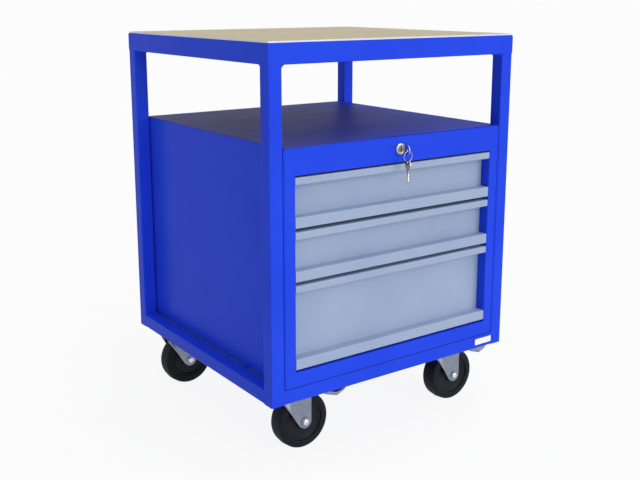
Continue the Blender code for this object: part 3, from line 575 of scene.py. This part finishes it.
# The cabinet top serves as a shelf: things pushed over it have rubbed the same coat dull, with long fine
# scuffs.
# Its colour is greyest towards the rear left corner: that grey is a painted reflection of the worktop's
# underside.
rubbed_coat_and_painted_reflection = new_material("blue_powder_coat_rubbed_painted_reflection")
tree = rubbed_coat_and_painted_reflection.node_tree
place = add_node(tree, "ShaderNodeTexCoord").outputs["Object"]
across = add_node(tree, "ShaderNodeMapping", {"Vector": place, "Scale": (1.0, 7.0, 1.0)})
scuffs = add_node(
    tree, "ShaderNodeTexNoise", {"Vector": across.outputs[0], "Scale": 1 / (90 * MM), "Detail": 5.0}
)
tone = add_node(tree, "ShaderNodeValToRGB", {"Fac": scuffs.outputs["Fac"]})
tone.color_ramp.elements[0].position = 0.35
tone.color_ramp.elements[0].color = linear("122DB6")
tone.color_ramp.elements[1].position = 0.7
tone.color_ramp.elements[1].color = linear("1936C0")
# Painted reflection: the grey colour below is mixed in most at the rear left corner and fades out towards the
# front right.
reflection_fade_direction = (0.81, -0.58, 0.0)
painted_reflection_full_at = -140 * MM
painted_reflection_gone_at = 160 * MM
along_reflection_fade = add_node(
    tree, "ShaderNodeVectorMath", {0: place, 1: reflection_fade_direction}, operation="DOT_PRODUCT"
)
painted_reflection_fade = add_node(
    tree, "ShaderNodeMapRange",
    {"Value": along_reflection_fade.outputs["Value"], "From Min": painted_reflection_full_at, "From Max": painted_reflection_gone_at},
)
with_painted_reflection = add_node(
    tree, "ShaderNodeMix",
    {0: painted_reflection_fade.outputs[0], 6: linear("4A4E92"), 7: tone.outputs["Color"]}, data_type="RGBA",
)
rubbed = add_node(
    tree, "ShaderNodeMapRange", {"Value": scuffs.outputs["Fac"], "To Min": 0.40, "To Max": 0.60}
)
worn_coat_and_painted_reflection = add_node(
    tree, "ShaderNodeBsdfPrincipled",
    {"Base Color": with_painted_reflection.outputs[2], "Roughness": rubbed.outputs[0], "Specular IOR Level": 0.04},
)
add_node(tree, "ShaderNodeOutputMaterial", {"Surface": worn_coat_and_painted_reflection.outputs[0]})
finish_nodes(rubbed_coat_and_painted_reflection, "cabinet_top")


# Runner channels: a pair for each drawer, spot welded to the cabinet sides.
# Folded steel strip, zinc plated.
# Zinc plate is a cool grey metal with a satin gloss that varies in small patches. Its grit is drawn 1.5 mm
# wide, coarser than real, so that it shows.
zinc = patchy_finish(
    "zinc_plated_steel", 9 * MM, 3.0, ("808897", "8C94A1"), roughness=(0.40, 0.50), tone_stops=(0.35, 0.65),
    gloss_stops=(0.3, 0.7), grain=(1.5 * MM, 2.0, 0.08, 0.1 * MM), metallic=1.0,
)
DRAWERS = ("top", "middle", "bottom")
finish_nodes(zinc, *(f"channel_{level}_{side}" for level in DRAWERS for side in ("left", "right")))

# Two bare strips on the lower side rails close the gap under the cabinet's sides.
strip_width = 14 * MM
strip_thickness = 2 * MM
strip_sunk = 0.4 * MM
strip_end_gap = 0.5 * MM
strips = []
for side, inwards in (("left", 1), ("right", -1)):
    low, high = (Vector(corner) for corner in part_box(f"bottom_rail_{side}"))
    inner_x = high.x if side == "left" else low.x
    ends = sorted((inner_x, inner_x + inwards * strip_width))
    strips.append(
        block(
            (ends[0], low.y + strip_end_gap, high.z - strip_thickness - strip_sunk),
            (ends[1], high.y - strip_end_gap, high.z - strip_sunk),
        )
    )
add_piece("cabinet_rest_strips", joined(*strips), zinc, "bench")


# Drawers: a folded front with a grip lip above and a strip below, fixed to a sheet tray.
# Sheet steel, powder coated light blue-grey.
# The grey coat is duller than the blue and shows the same pebbled skin, drawn 3 mm wide so that it shows.
grey_coat = powder_coat(
    "grey_powder_coat", 130 * MM, "97A8C6", "9EAFCB", gloss_range=(0.38, 0.50), pebble_strength=0.10,
    specular=0.35,
)
finish_nodes(grey_coat, *(f"drawer_{level}_{part}" for level in DRAWERS for part in ("front", "tray")))


# Cylinder lock: a barrel with a round bezel in the face of the cabinet and a slotted plug that turns in it.
# Turned brass, nickel plated and polished.
# Nickel is a warm bright metal whose mirror is softened by fine marks, drawn 0.8 mm wide so that they show.
nickel = patchy_finish(
    "nickel_plated_brass", 0.8 * MM, 2.0, ("B4B0A6", "C9C6BD"), roughness=(0.16, 0.30), tone_stops=(0.3, 0.7),
    grain=(0.8 * MM, 2.0, 0.06, 0.05 * MM), metallic=1.0,
)


def spun_round(shape, steps):
    """Spins all of a bmesh once round the Z axis."""
    bmesh.ops.spin(
        shape, geom=shape.verts[:] + shape.edges[:], cent=(0.0, 0.0, 0.0), axis=(0.0, 0.0, 1.0),
        angle=2 * math.pi, steps=steps, use_merge=True,
    )
    bmesh.ops.remove_doubles(shape, verts=shape.verts, dist=0.001 * MM)
    bmesh.ops.recalc_face_normals(shape, faces=shape.faces)


def turned(profile, steps, closed=True):
    """A piece turned round the Z axis from a profile of (radius, height) points."""
    shape = bmesh.new()
    points = [shape.verts.new((radius, 0.0, height)) for radius, height in profile]
    for pair in zip(points, points[1:]):
        shape.edges.new(pair)
    if closed:
        shape.edges.new((points[-1], points[0]))
    spun_round(shape, steps)
    return shape


barrel_low, barrel_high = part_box("lock_barrel")
plug_low, plug_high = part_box("lock_plug")
lock_x = (barrel_low[0] + barrel_high[0]) / 2
lock_z = (barrel_low[2] + barrel_high[2]) / 2
bezel_radius = (barrel_high[0] - barrel_low[0]) / 2
bezel_height = front_y - barrel_low[1]
barrel_length = barrel_high[1] - front_y
plug_radius = 6.2 * MM
facing_front = Matrix.Translation((lock_x, front_y, lock_z)) @ Matrix.Rotation(math.pi / 2, 4, "X")
bore = plug_radius + 0.5 * MM
barrel_radius = 9 * MM
bezel_seat = 0.3 * MM
barrel = turned(
    (
        (bore, -barrel_length),
        (bore, bezel_height - 0.8 * MM),
        (bore + 0.4 * MM, bezel_height - 0.3 * MM),
        (bore + 1.2 * MM, bezel_height),
        (bezel_radius - 2.4 * MM, bezel_height),
        (bezel_radius - 1.2 * MM, bezel_height - 0.5 * MM),
        (bezel_radius - 0.3 * MM, bezel_height - 1.6 * MM),
        (bezel_radius, bezel_height - 2.8 * MM),
        (bezel_radius, bezel_seat),
        (barrel_radius, bezel_seat),
        (barrel_radius, -barrel_length),
    ),
    steps=64,
)
placed(barrel, facing_front)
add_piece("lock_bezel", barrel, nickel, "bench", ["lock_barrel"])

# The plug is a core with two half discs on it, which leave the slot for the key between them.
HAIR = 0.01 * MM
key_thickness = 2.0 * MM
slot_half = 2.0 * MM
slot_depth = 2.2 * MM
plug_core = turned(
    (
        (0.0, bezel_height - slot_depth),
        (plug_radius, bezel_height - slot_depth),
        (plug_radius, front_y - plug_high[1]),
        (0.0, front_y - plug_high[1]),
    ),
    steps=48,
    closed=False,
)
plug_halves = []
slot_angle = math.asin(slot_half / plug_radius)
for side in (-1, 1):
    half = bmesh.new()
    half_x = side * plug_radius * math.sin(slot_angle)
    half_y = plug_radius * math.cos(slot_angle)
    start = half.verts.new((half_x, half_y, bezel_height - slot_depth))
    bmesh.ops.spin(
        half, geom=[start], cent=(0.0, 0.0, 0.0), axis=(0.0, 0.0, -side), angle=math.pi - 2 * slot_angle,
        steps=20,
    )
    bmesh.ops.contextual_create(half, geom=half.verts[:])
    drawn_out(half, (0.0, 0.0, slot_depth))
    rim = [edge for edge in half.edges if all(v.co.z > bezel_height - HAIR for v in edge.verts)]
    rounded(half, rim, 0.35 * MM)
    plug_halves.append(half)

# The cam is a flat bar on the plug's rear end.
cam_length = plug_high[0] - lock_x
cam_half = 6 * MM
cam_sheet = 2.5 * MM
cam_z = front_y - plug_high[1]
cam = block((-cam_half, -cam_half, cam_z), (cam_length, cam_half, cam_z + cam_sheet))
rounded(cam, cam.edges[:], 0.5 * MM)
plug = joined(plug_core, *plug_halves, cam)
placed(plug, facing_front)
add_piece("lock_plug_and_cam", plug, nickel, "lock_core", ["lock_plug"])

# Dark blocks fill the bottom of the shallow keyway beside the key as painted shade, standing in for the depth
# of the slot.
# They are a dark brownish grey with a faint oily sheen.
keyway_painted_shade = patchy_finish(
    "blackened_steel_painted_keyway_shade", 3 * MM, 3.0, ("25252A", "34343A"), roughness=(0.45, 0.45), specular=0.3
)
keyway_half = plug_radius * math.cos(slot_angle) - 0.3 * MM
keyway_shade_blocks = joined(
    *(
        block(
            (side * (key_thickness / 2 + 0.1 * MM), -keyway_half, bezel_height - slot_depth),
            (side * (slot_half - 0.05 * MM), keyway_half, bezel_height - 0.9 * MM),
        )
        for side in (-1, 1)
    )
)
bmesh.ops.recalc_face_normals(keyway_shade_blocks, faces=keyway_shade_blocks.faces)
placed(keyway_shade_blocks, facing_front)
add_piece("lock_keyway_painted_shade", keyway_shade_blocks, keyway_painted_shade, "lock_core")


# Keys: one in the lock and a spare that hangs from it on a split wire ring.
# Stamped flat brass, nickel plated, with a round bow, a hole near its end and a notched blade.
CORNER = math.radians(60)


def flat_key(bow_radius, hole_radius, hole_offset, thickness, blade_width, blade_length, notches):
    """A key in the YZ plane, its bow at the origin, its hole towards -Y and its blade along +Y."""
    bow = bmesh.new()
    bmesh.ops.create_circle(bow, cap_ends=False, segments=48, radius=bow_radius)
    hole = bmesh.ops.create_circle(bow, cap_ends=False, segments=48, radius=hole_radius)["verts"]
    bmesh.ops.translate(bow, vec=(0.0, -hole_offset, 0.0), verts=hole)
    bmesh.ops.bridge_loops(bow, edges=bow.edges[:])
    drawn_out(bow, (0.0, 0.0, thickness))
    rounded(bow, [edge for edge in bow.edges if edge.calc_face_angle(0.0) > CORNER], 0.35 * MM)
    blade = bmesh.new()
    bmesh.ops.create_grid(blade, x_segments=1, y_segments=1, size=0.5)
    bmesh.ops.scale(blade, vec=(blade_width, blade_length, 1.0), verts=blade.verts)
    blade_overlap = 1.5 * MM
    start = bow_radius - blade_overlap
    bmesh.ops.translate(blade, vec=(0.0, start + blade_length / 2, 0.0), verts=blade.verts)
    if notches:
        edge = [e for e in blade.edges if all(v.co.x > 0.0 for v in e.verts)]
        cut = bmesh.ops.subdivide_edges(blade, edges=edge, cuts=2 * notches)["geom_inner"]
        teeth = sorted(moved(cut), key=lambda vert: vert.co.y)
        plain_part = 3
        for count, tooth in enumerate(teeth[plain_part:]):
            tooth.co.x -= (0.5 + 0.45 * (count * 2 % 3)) * MM
    thinner = 0.15 * MM
    drawn_out(blade, (0.0, 0.0, thickness - 2 * thinner))
    bmesh.ops.translate(blade, vec=(0.0, 0.0, thinner), verts=blade.verts)
    tip = [v for v in blade.verts if v.co.y > start + blade_length - HAIR]
    tip_taper = 0.45
    at_tip = Matrix.Translation((0.0, -start - blade_length, 0.0))
    bmesh.ops.scale(blade, vec=(tip_taper, 1.0, 1.0), verts=tip, space=at_tip)
    key = joined(bow, blade)
    placed(key, Matrix.Rotation(math.pi / 2, 4, "Y") @ Matrix.Translation((0.0, 0.0, -thickness / 2)))
    return key


key_low, key_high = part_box("inserted_key")
bow_radius = (key_high[2] - key_low[2]) / 2
bow_y = key_low[1] + bow_radius
hole_offset = 6 * MM
hole_radius = 2.8 * MM
inserted_width = 7 * MM
inserted_length = key_high[1] - bow_y - bow_radius
inserted = flat_key(
    bow_radius, hole_radius, hole_offset, key_thickness, inserted_width, inserted_length, notches=0
)
bmesh.ops.translate(inserted, vec=(lock_x, bow_y, lock_z), verts=inserted.verts)
add_piece("key_in_lock", inserted, nickel, "lock_core", ["inserted_key"])

# The ring is two turns of thinner wire side by side.
ring_low, ring_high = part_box("key_ring")
wire = (ring_high[1] - ring_low[1]) / 2
ring_radius = (ring_high[2] - ring_low[2]) / 2 - wire
ring_y = (ring_low[1] + ring_high[1]) / 2
ring_z = (ring_low[2] + ring_high[2]) / 2
turn_wire = wire * 0.52
turns = []
for side in (-1, 1):
    coil = bmesh.new()
    bmesh.ops.create_circle(coil, cap_ends=False, segments=12, radius=turn_wire)
    at_rim = Matrix.Translation((ring_radius, 0.0, side * wire * 0.5))
    placed(coil, at_rim @ Matrix.Rotation(math.pi / 2, 4, "X"))
    spun_round(coil, steps=72)
    turns.append(coil)
ring = joined(*turns)
placed(ring, Matrix.Translation((lock_x, ring_y, ring_z)) @ Matrix.Rotation(math.pi / 2, 4, "X"))
add_piece("split_ring", ring, nickel, "ring", ["key_ring"])

spare_width = 6.4 * MM
spare_length = 26 * MM
spare_turn = math.radians(-10.0)
spare = flat_key(bow_radius, hole_radius, hole_offset, key_thickness, spare_width, spare_length, notches=7)
spare_z = ring_low[2] + 2 * wire - hole_radius - hole_offset
hanging = Matrix.Rotation(spare_turn, 4, "Z") @ Matrix.Rotation(-math.pi / 2, 4, "X")
placed(spare, Matrix.Translation((lock_x, ring_y, spare_z)) @ hanging)
add_piece("spare_key", spare, nickel, "ring")


# Blank sticker at the right end of the lower front rail: a white vinyl label.
# Glued on flat, with rounded corners.
# Vinyl is a clean white with a faint satin unevenness.
vinyl = patchy_finish("white_vinyl", 6 * MM, 3.0, ("EDEDEF", "FAFAFA"), roughness=(0.45, 0.45))
lower_low, lower_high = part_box("bottom_rail_front")
sticker_width = 50 * MM
sticker_height = 14 * MM
sticker_thickness = 0.25 * MM
sticker_corner = 1.2 * MM
sticker_right = lower_high[0] - 0.5 * MM
sticker_z = (lower_low[2] + lower_high[2]) / 2
sticker = block(
    (sticker_right - sticker_width, lower_low[1] - sticker_thickness, sticker_z - sticker_height / 2),
    (sticker_right, lower_low[1], sticker_z + sticker_height / 2),
    1, sticker_corner, 4,
)
add_piece("blank_sticker", sticker, vinyl, "bench")


# Caster plates: a flat plate with a ball cup under it, fixed to a crossbar by four hexagon bolts with
# washers. Pressed steel, zinc plated.
def hexagon(width, height):
    """A bolt head or nut that stands on the XY plane, its upper corners turned off."""
    head = bmesh.new()
    radius = width / math.sqrt(3)
    bmesh.ops.create_cone(head, cap_ends=True, segments=6, radius1=radius, radius2=radius, depth=height)
    bmesh.ops.translate(head, vec=(0.0, 0.0, height / 2), verts=head.verts)
    top = [e for e in head.edges if all(v.co.z > height * 0.9 for v in e.verts)]
    rounded(head, top, 0.8 * MM, 3)
    return head


CASTERS = tuple((row, side) for row in ("front", "rear") for side in ("left", "right"))
washer_height = 1.4 * MM
washer_radius = 8 * MM
bolt_head = (13 * MM, 5.3 * MM)
bolt_inset = 12.5 * MM
plate_thickness = 4 * MM
for row, side in CASTERS:
    finish_nodes(zinc, f"caster_{row}_{side}_plate")
    plate_low, plate_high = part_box(f"caster_{row}_{side}_plate")
    plate_underside = plate_high[2] - plate_thickness
    bolts = []
    for bolt_x in (plate_low[0] + bolt_inset, plate_high[0] - bolt_inset):
        for bolt_y in (plate_low[1] + bolt_inset, plate_high[1] - bolt_inset):
            washer = turned(
                (
                    (0.0, 0.0),
                    (washer_radius, 0.0),
                    (washer_radius, washer_height - 0.3 * MM),
                    (washer_radius - 0.3 * MM, washer_height),
                    (0.0, washer_height),
                ),
                steps=32,
                closed=False,
            )
            head = hexagon(*bolt_head)
            bmesh.ops.translate(head, vec=(0.0, 0.0, washer_height), verts=head.verts)
            bolt = joined(washer, head)
            spot = Matrix.Translation((bolt_x, bolt_y, plate_underside))
            placed(bolt, spot @ Matrix.Rotation(math.pi, 4, "X"))
            bolts.append(bolt)
    add_piece(f"caster_{row}_{side}_plate_bolts", joined(*bolts), zinc, "bench")


# Caster forks: one blank, pressed so that two legs fold down from a crown, with stiffened front edges.
# 3 mm steel, zinc plated, turning on a ball race under the plate.
def sheet_metal(made, thickness, rounding):
    """Gives a piece drawn as a bare surface the thickness of its sheet and slightly rounded edges."""
    walls = made.modifiers.new("sheet", "SOLIDIFY")
    walls.thickness = thickness
    walls.offset = 0.0
    walls.use_even_offset = True
    edge_round = made.modifiers.new("edges", "BEVEL")
    edge_round.width = rounding
    edge_round.segments = 2
    edge_round.limit_method = "ANGLE"
    edge_round.angle_limit = math.radians(50)


fork_sheet = 3 * MM
eye_radius = 15 * MM
race_height = 4 * MM
race_bore = 7 * MM
race_radius = 28 * MM
shoulder_drop = 10.5 * MM
bend = 5 * MM
flange_bend = 2.2 * MM
inside_half = 22 * MM
flange_widths = [width * MM for width in (9.0, 6.5, 3.2, 0.9, 0.7, 0.6, 0.6, 0.6)]
crease_share = 0.36
crease_slope = 0.15
leg_y = inside_half + fork_sheet / 2
for row, side in CASTERS:
    name = f"caster_{row}_{side}"
    body = f"swivel_{row}_{side}"
    plate_low, plate_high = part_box(f"{name}_plate")
    fork_low, fork_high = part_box(f"{name}_fork")
    tyre_low, tyre_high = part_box(f"{name}_tyre")
    swivel_x = (plate_low[0] + plate_high[0]) / 2
    swivel_y = (plate_low[1] + plate_high[1]) / 2
    trail = (tyre_low[0] + tyre_high[0]) / 2 - swivel_x
    axle_z = (tyre_low[2] + tyre_high[2]) / 2
    race_top = fork_high[2]
    crown_z = race_top - race_height - fork_sheet / 2
    front_x = fork_low[0] - swivel_x
    shoulder_z = crown_z - shoulder_drop
    crease_x = front_x + crease_share * (trail + eye_radius - front_x)

    # A leg's outline: a round eye at the axle, a slanting front edge up to a shoulder, and a square top.
    leg = bmesh.new()
    eye = leg.verts.new((trail + eye_radius, -leg_y, axle_z))
    run = front_x - trail
    rise = shoulder_z - axle_z
    sweep = 2 * math.pi - math.atan2(rise, run) - math.acos(eye_radius / math.hypot(run, rise))
    bmesh.ops.spin(
        leg, geom=[eye], cent=(trail, -leg_y, axle_z), axis=(0.0, 1.0, 0.0), angle=sweep, steps=20
    )
    for corner_x, corner_z in ((front_x, shoulder_z), (front_x, crown_z), (trail + eye_radius, crown_z)):
        leg.verts.new((corner_x, -leg_y, corner_z))
    bmesh.ops.contextual_create(leg, geom=leg.verts[:])

    # The slanting edge is folded inwards as a flange, widest at the shoulder.
    long_edges = [e for e in leg.edges if e.calc_length() > 2 * eye_radius]
    slant = max(
        (e for e in long_edges if abs(e.verts[0].co.z - e.verts[1].co.z) > bend),
        key=lambda edge: abs(edge.verts[0].co.x - edge.verts[1].co.x),
    )
    cut = bmesh.ops.subdivide_edges(leg, edges=[slant], cuts=len(flange_widths) - 2)["geom_inner"]
    on_slant = sorted(set(moved(cut)) | set(slant.verts), key=lambda vert: -vert.co.z)
    fold = [e for e in leg.edges if e.verts[0] in on_slant and e.verts[1] in on_slant]
    drawn = bmesh.ops.extrude_edge_only(leg, edges=fold)["geom"]
    for vert in moved(drawn):
        nearest = min(range(len(on_slant)), key=lambda place: (on_slant[place].co - vert.co).length)
        vert.co.y += flange_widths[nearest]
    bmesh.ops.bevel(
        leg, geom=fold, offset=flange_bend, segments=3, profile=0.5, affect="EDGES", material=-1,
        clamp_overlap=True,
    )

    # An upright crease brings the front of the leg inwards, and the crown joins both legs.
    bmesh.ops.bisect_plane(
        leg, geom=leg.verts[:] + leg.edges[:] + leg.faces[:], plane_co=(crease_x, 0.0, 0.0),
        plane_no=(1.0, 0.0, 0.0),
    )
    for vert in leg.verts:
        depth = min(1.0, (crown_z - vert.co.z) / (crown_z - shoulder_z))
        vert.co.y += max(0.0, crease_x - vert.co.x) * crease_slope * depth
    far_leg = leg.copy()
    bmesh.ops.scale(far_leg, vec=(1.0, -1.0, 1.0), verts=far_leg.verts)
    fork = joined(leg, far_leg)
    top_edges = [e for e in fork.edges if all(v.co.z > crown_z - HAIR for v in e.verts)]
    bmesh.ops.bridge_loops(fork, edges=top_edges)
    top_edges = [e for e in fork.edges if all(v.co.z > crown_z - HAIR for v in e.verts)]
    crown_edges = [e for e in top_edges if abs(e.verts[0].co.y - e.verts[1].co.y) < HAIR]
    rounded(fork, crown_edges, bend, 5)
    bmesh.ops.recalc_face_normals(fork, faces=fork.faces)
    bmesh.ops.translate(fork, vec=(swivel_x, swivel_y, 0.0), verts=fork.verts)
    made = add_piece(f"{name}_pressed_fork", fork, zinc, body, [f"{name}_fork"], sharp=50.0)
    sheet_metal(made, fork_sheet, 0.5 * MM)

    race = turned(
        (
            (race_bore, race_top - race_height),
            (race_bore, race_top),
            (race_radius - 2.5 * MM, race_top),
            (race_radius - 0.6 * MM, race_top - 0.7 * MM),
            (race_radius, race_top - 2 * MM),
            (race_radius, race_top - race_height),
        ),
        steps=56,
    )
    bmesh.ops.translate(race, vec=(swivel_x, swivel_y, 0.0), verts=race.verts)
    add_piece(f"{name}_ball_race", race, zinc, body)


# Axles: a bolt through both legs of the fork, with a domed hexagon and a washer at each end.
# Steel, the bolt bright zinc plated and the washers like the fork.
# Bright zinc is a nearly white, polished metal with slight streaks of gloss.
bright_zinc = patchy_finish(
    "bright_zinc_plate", 4 * MM, 2.0, ("CDD1D6", "E2E4E8"), roughness=(0.18, 0.30), metallic=1.0
)

shank_radius = 5 * MM
washer_height = 1.3 * MM
washer_radius = 10 * MM
nut_width = 13 * MM
nut_height = 2.0 * MM
dome_height = 1.7 * MM
dome_radius = 5.8 * MM
for row, side in CASTERS:
    name = f"caster_{row}_{side}"
    axle_low, axle_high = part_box(f"{name}_axle")
    tyre_low, tyre_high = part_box(f"{name}_tyre")
    axle = Vector(tyre_low).lerp(Vector(tyre_high), 0.5)
    axle.y = (axle_low[1] + axle_high[1]) / 2
    seat = (axle_high[1] - axle_low[1]) / 2 - washer_height - nut_height - dome_height
    heads = []
    washers = []
    for end in (-1, 1):
        outwards = Matrix.Translation(axle) @ Matrix.Rotation(-end * math.pi / 2, 4, "X")
        outwards = outwards @ Matrix.Translation((0.0, 0.0, seat))
        washer = turned(
            (
                (shank_radius, 0.0),
                (washer_radius, 0.0),
                (washer_radius, washer_height - 0.4 * MM),
                (washer_radius - 0.4 * MM, washer_height),
                (shank_radius, washer_height),
            ),
            steps=40,
        )
        placed(washer, outwards)
        washers.append(washer)
        nut = hexagon(nut_width, nut_height)
        angles = [math.radians(degrees) for degrees in range(0, 91, 15)]
        dome = turned(
            [(dome_radius * math.sin(a), nut_height + dome_height * math.cos(a)) for a in angles],
            steps=32,
            closed=False,
        )
        head = joined(nut, dome)
        placed(head, outwards @ Matrix.Translation((0.0, 0.0, washer_height)))
        heads.append(head)
    shank = bmesh.new()
    shank_length = 2 * (seat + washer_height)
    bmesh.ops.create_cone(
        shank, cap_ends=True, segments=32, radius1=shank_radius, radius2=shank_radius, depth=shank_length
    )
    placed(shank, Matrix.Translation(axle) @ Matrix.Rotation(math.pi / 2, 4, "X"))
    body = f"swivel_{row}_{side}"
    add_piece(f"{name}_axle_bolt", joined(shank, *heads), bright_zinc, body, [f"{name}_axle"])
    add_piece(f"{name}_axle_washers", joined(*washers), zinc, body)


# Wheels: a moulded rim with a dished web and a hub, and a solid tyre on its bed.
# The rim is black polypropylene, the tyre black rubber, moulded in two halves with a fine seam round it.
# Moulded polypropylene is a dark grey with a dull sheen and a fine eroded grain, drawn 2 mm wide to show.
polypropylene = patchy_finish(
    "black_polypropylene", 2 * MM, 3.0, ("101219", "161922"), roughness=(0.42, 0.58),
    grain=(2 * MM, 3.0, 0.10, 0.1 * MM), specular=0.18,
)

# Solid rubber is a matt charcoal, paler where dust has rubbed into it in soft patches. Its pores are drawn
# 1.6 mm wide so that they show.
rubber = patchy_finish(
    "black_rubber", 18 * MM, 4.0, ("0D0F17", "161A27"), roughness=(0.55, 0.75), tone_stops=(0.35, 0.75),
    grain=(1.6 * MM, 2.0, 0.12, 0.15 * MM), specular=0.18,
)

bed = 44 * MM
shoulder = 6 * MM
rim_side = (
    (5.6 * MM, 21.2 * MM), (9 * MM, 21.4 * MM), (14.5 * MM, 21.4 * MM), (16.2 * MM, 20.6 * MM),
    (17 * MM, 18.5 * MM), (18.5 * MM, 13.8 * MM), (21 * MM, 12.4 * MM), (30 * MM, 12.0 * MM),
    (36 * MM, 12.3 * MM), (38.6 * MM, 13.4 * MM), (40.2 * MM, 15.6 * MM), (41.6 * MM, 16.4 * MM),
    (bed, 16.5 * MM),
)
for row, side in CASTERS:
    name = f"caster_{row}_{side}"
    tyre_low, tyre_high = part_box(f"{name}_tyre")
    axle = Vector(tyre_low).lerp(Vector(tyre_high), 0.5)
    wheel_radius = axle.z - tyre_low[2]
    tyre_half = (tyre_high[1] - tyre_low[1]) / 2
    on_axle = Matrix.Translation(axle) @ Matrix.Rotation(math.pi / 2, 4, "X")

    rim = turned(rim_side + tuple((radius, -height) for radius, height in reversed(rim_side)), steps=72)
    placed(rim, on_axle)
    add_piece(
        f"{name}_moulded_rim", rim, polypropylene, f"wheel_{row}_{side}", [f"{name}_rim"]
    )

    tread = wheel_radius - 1.5 * MM
    tyre_side = [
        (bed + 0.3 * MM, tyre_half - 0.4 * MM), (bed + 0.8 * MM, tyre_half), (bed + 5.2 * MM, tyre_half),
        (bed + 5.6 * MM, tyre_half - 0.5 * MM), (bed + 6.4 * MM, tyre_half - 0.5 * MM),
        (bed + 6.8 * MM, tyre_half - 0.1 * MM),
    ]
    for step in range(1, 10):
        angle = math.pi / 2 * step / 9
        tyre_side.append(
            (tread - shoulder * (1 - math.sin(angle)), tyre_half - shoulder * (1 - math.cos(angle)))
        )
    tyre_side += [
        (wheel_radius - 0.35 * MM, 2.4 * MM), (wheel_radius - 0.3 * MM, 0.5 * MM), (wheel_radius, 0.2 * MM)
    ]
    tyre = turned(tyre_side + [(radius, -height) for radius, height in reversed(tyre_side)], steps=96)
    placed(tyre, on_axle)
    add_piece(f"{name}_solid_tyre", tyre, rubber, f"wheel_{row}_{side}", [f"{name}_tyre"])


# Brake pedals: a bent tongue behind each front wheel, hinged between the legs of the fork.
# Pressed steel 2.5 mm thick, zinc plated, its long edges folded down to stiffen it, its tip turned up and
# ribbed for grip.
pedal_sheet = 2.5 * MM
half_width = 20 * MM
pivot_reach = 38 * MM
pivot_drop = 15 * MM
sleeve_radius = 3.5 * MM
sleeve_length = 43.4 * MM
rib_half = (1.1 * MM, 13 * MM, 0.9 * MM)
arm_reach = 78 * MM
arm_fall = 26 * MM
tip_reach = 27 * MM
tip_rise = 7 * MM
edge_sheet = 2 * MM
edge_depth = 6.2 * MM
edge_start = 22 * MM
edge_full = 48 * MM
edge_end = 20 * MM
arm_slope = -arm_fall / arm_reach
edge_tip_z = tip_rise * edge_end / tip_reach - arm_fall
edge_outline = [
    (edge_start, edge_start * arm_slope),
    (arm_reach, -arm_fall),
    (arm_reach + edge_end, edge_tip_z),
    (arm_reach + edge_end, edge_tip_z - edge_depth / 2),
    (arm_reach, -arm_fall - edge_depth),
    (edge_full, edge_full * arm_slope - edge_depth),
]
for side in ("left", "right"):
    name = f"caster_front_{side}"
    pedal_low, pedal_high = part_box(f"{name}_pedal")
    plate_low, plate_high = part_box(f"{name}_plate")
    fork_low, fork_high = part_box(f"{name}_fork")
    swivel_x = (plate_low[0] + plate_high[0]) / 2
    pedal_y = (pedal_low[1] + pedal_high[1]) / 2
    pivot = Vector((swivel_x + pivot_reach, pedal_y, fork_high[2] - pivot_drop))

    # The tongue is a bent line, drawn out across its width.
    tongue = bmesh.new()
    path = [
        tongue.verts.new(pivot + Vector((x, -half_width, z)))
        for x, z in ((0.0, 0.0), (arm_reach, -arm_fall), (arm_reach + tip_reach, tip_rise - arm_fall))
    ]
    for pair in zip(path, path[1:]):
        tongue.edges.new(pair)
    rounded(tongue, [path[1]], 6 * MM, 6, "VERTICES")
    drawn = bmesh.ops.extrude_edge_only(tongue, edges=tongue.edges[:])["geom"]
    bmesh.ops.translate(tongue, vec=(0.0, 2 * half_width, 0.0), verts=moved(drawn))
    tip_x = max(v.co.x for v in tongue.verts)
    rounded(tongue, [v for v in tongue.verts if v.co.x > tip_x - HAIR], 7 * MM, 6, "VERTICES")
    bmesh.ops.recalc_face_normals(tongue, faces=tongue.faces)
    made = add_piece(
        f"{name}_brake_pedal", tongue, zinc, f"pedal_front_{side}", [f"{name}_pedal"]
    )
    sheet_metal(made, pedal_sheet, 0.6 * MM)

    sleeve = bmesh.new()
    bmesh.ops.create_cone(
        sleeve, cap_ends=True, segments=24, radius1=sleeve_radius, radius2=sleeve_radius,
        depth=sleeve_length,
    )
    placed(sleeve, Matrix.Translation(pivot) @ Matrix.Rotation(math.pi / 2, 4, "X"))
    ribs = []
    for count in range(3):
        rib = bmesh.new()
        bmesh.ops.create_uvsphere(rib, u_segments=12, v_segments=8, radius=1.0)
        bmesh.ops.scale(rib, vec=rib_half, verts=rib.verts)
        along_tip = 0.38 + 0.2 * count
        centre = pivot + Vector((arm_reach + tip_reach * along_tip, 0.0, tip_rise * along_tip - arm_fall))
        slope = Matrix.Rotation(-math.atan2(tip_rise, tip_reach), 4, "Y")
        lifted = Matrix.Translation((0.0, 0.0, pedal_sheet / 2))
        placed(rib, Matrix.Translation(centre) @ slope @ lifted)
        ribs.append(rib)
    add_piece(f"{name}_pedal_sleeve_and_ribs", joined(sleeve, *ribs), zinc, f"pedal_front_{side}")

    folds = []
    for edge_side in (-1, 1):
        outer_y = edge_side * (half_width - 0.05 * MM)
        fold = bmesh.new()
        fold.faces.new([fold.verts.new(pivot + Vector((x, outer_y, z))) for x, z in edge_outline])
        drawn_out(fold, (0.0, -edge_side * edge_sheet, 0.0))
        rounded(fold, [edge for edge in fold.edges if edge.calc_face_angle(0.0) > CORNER], 0.4 * MM)
        folds.append(fold)
    add_piece(f"{name}_pedal_folds", joined(*folds), zinc, f"pedal_front_{side}")
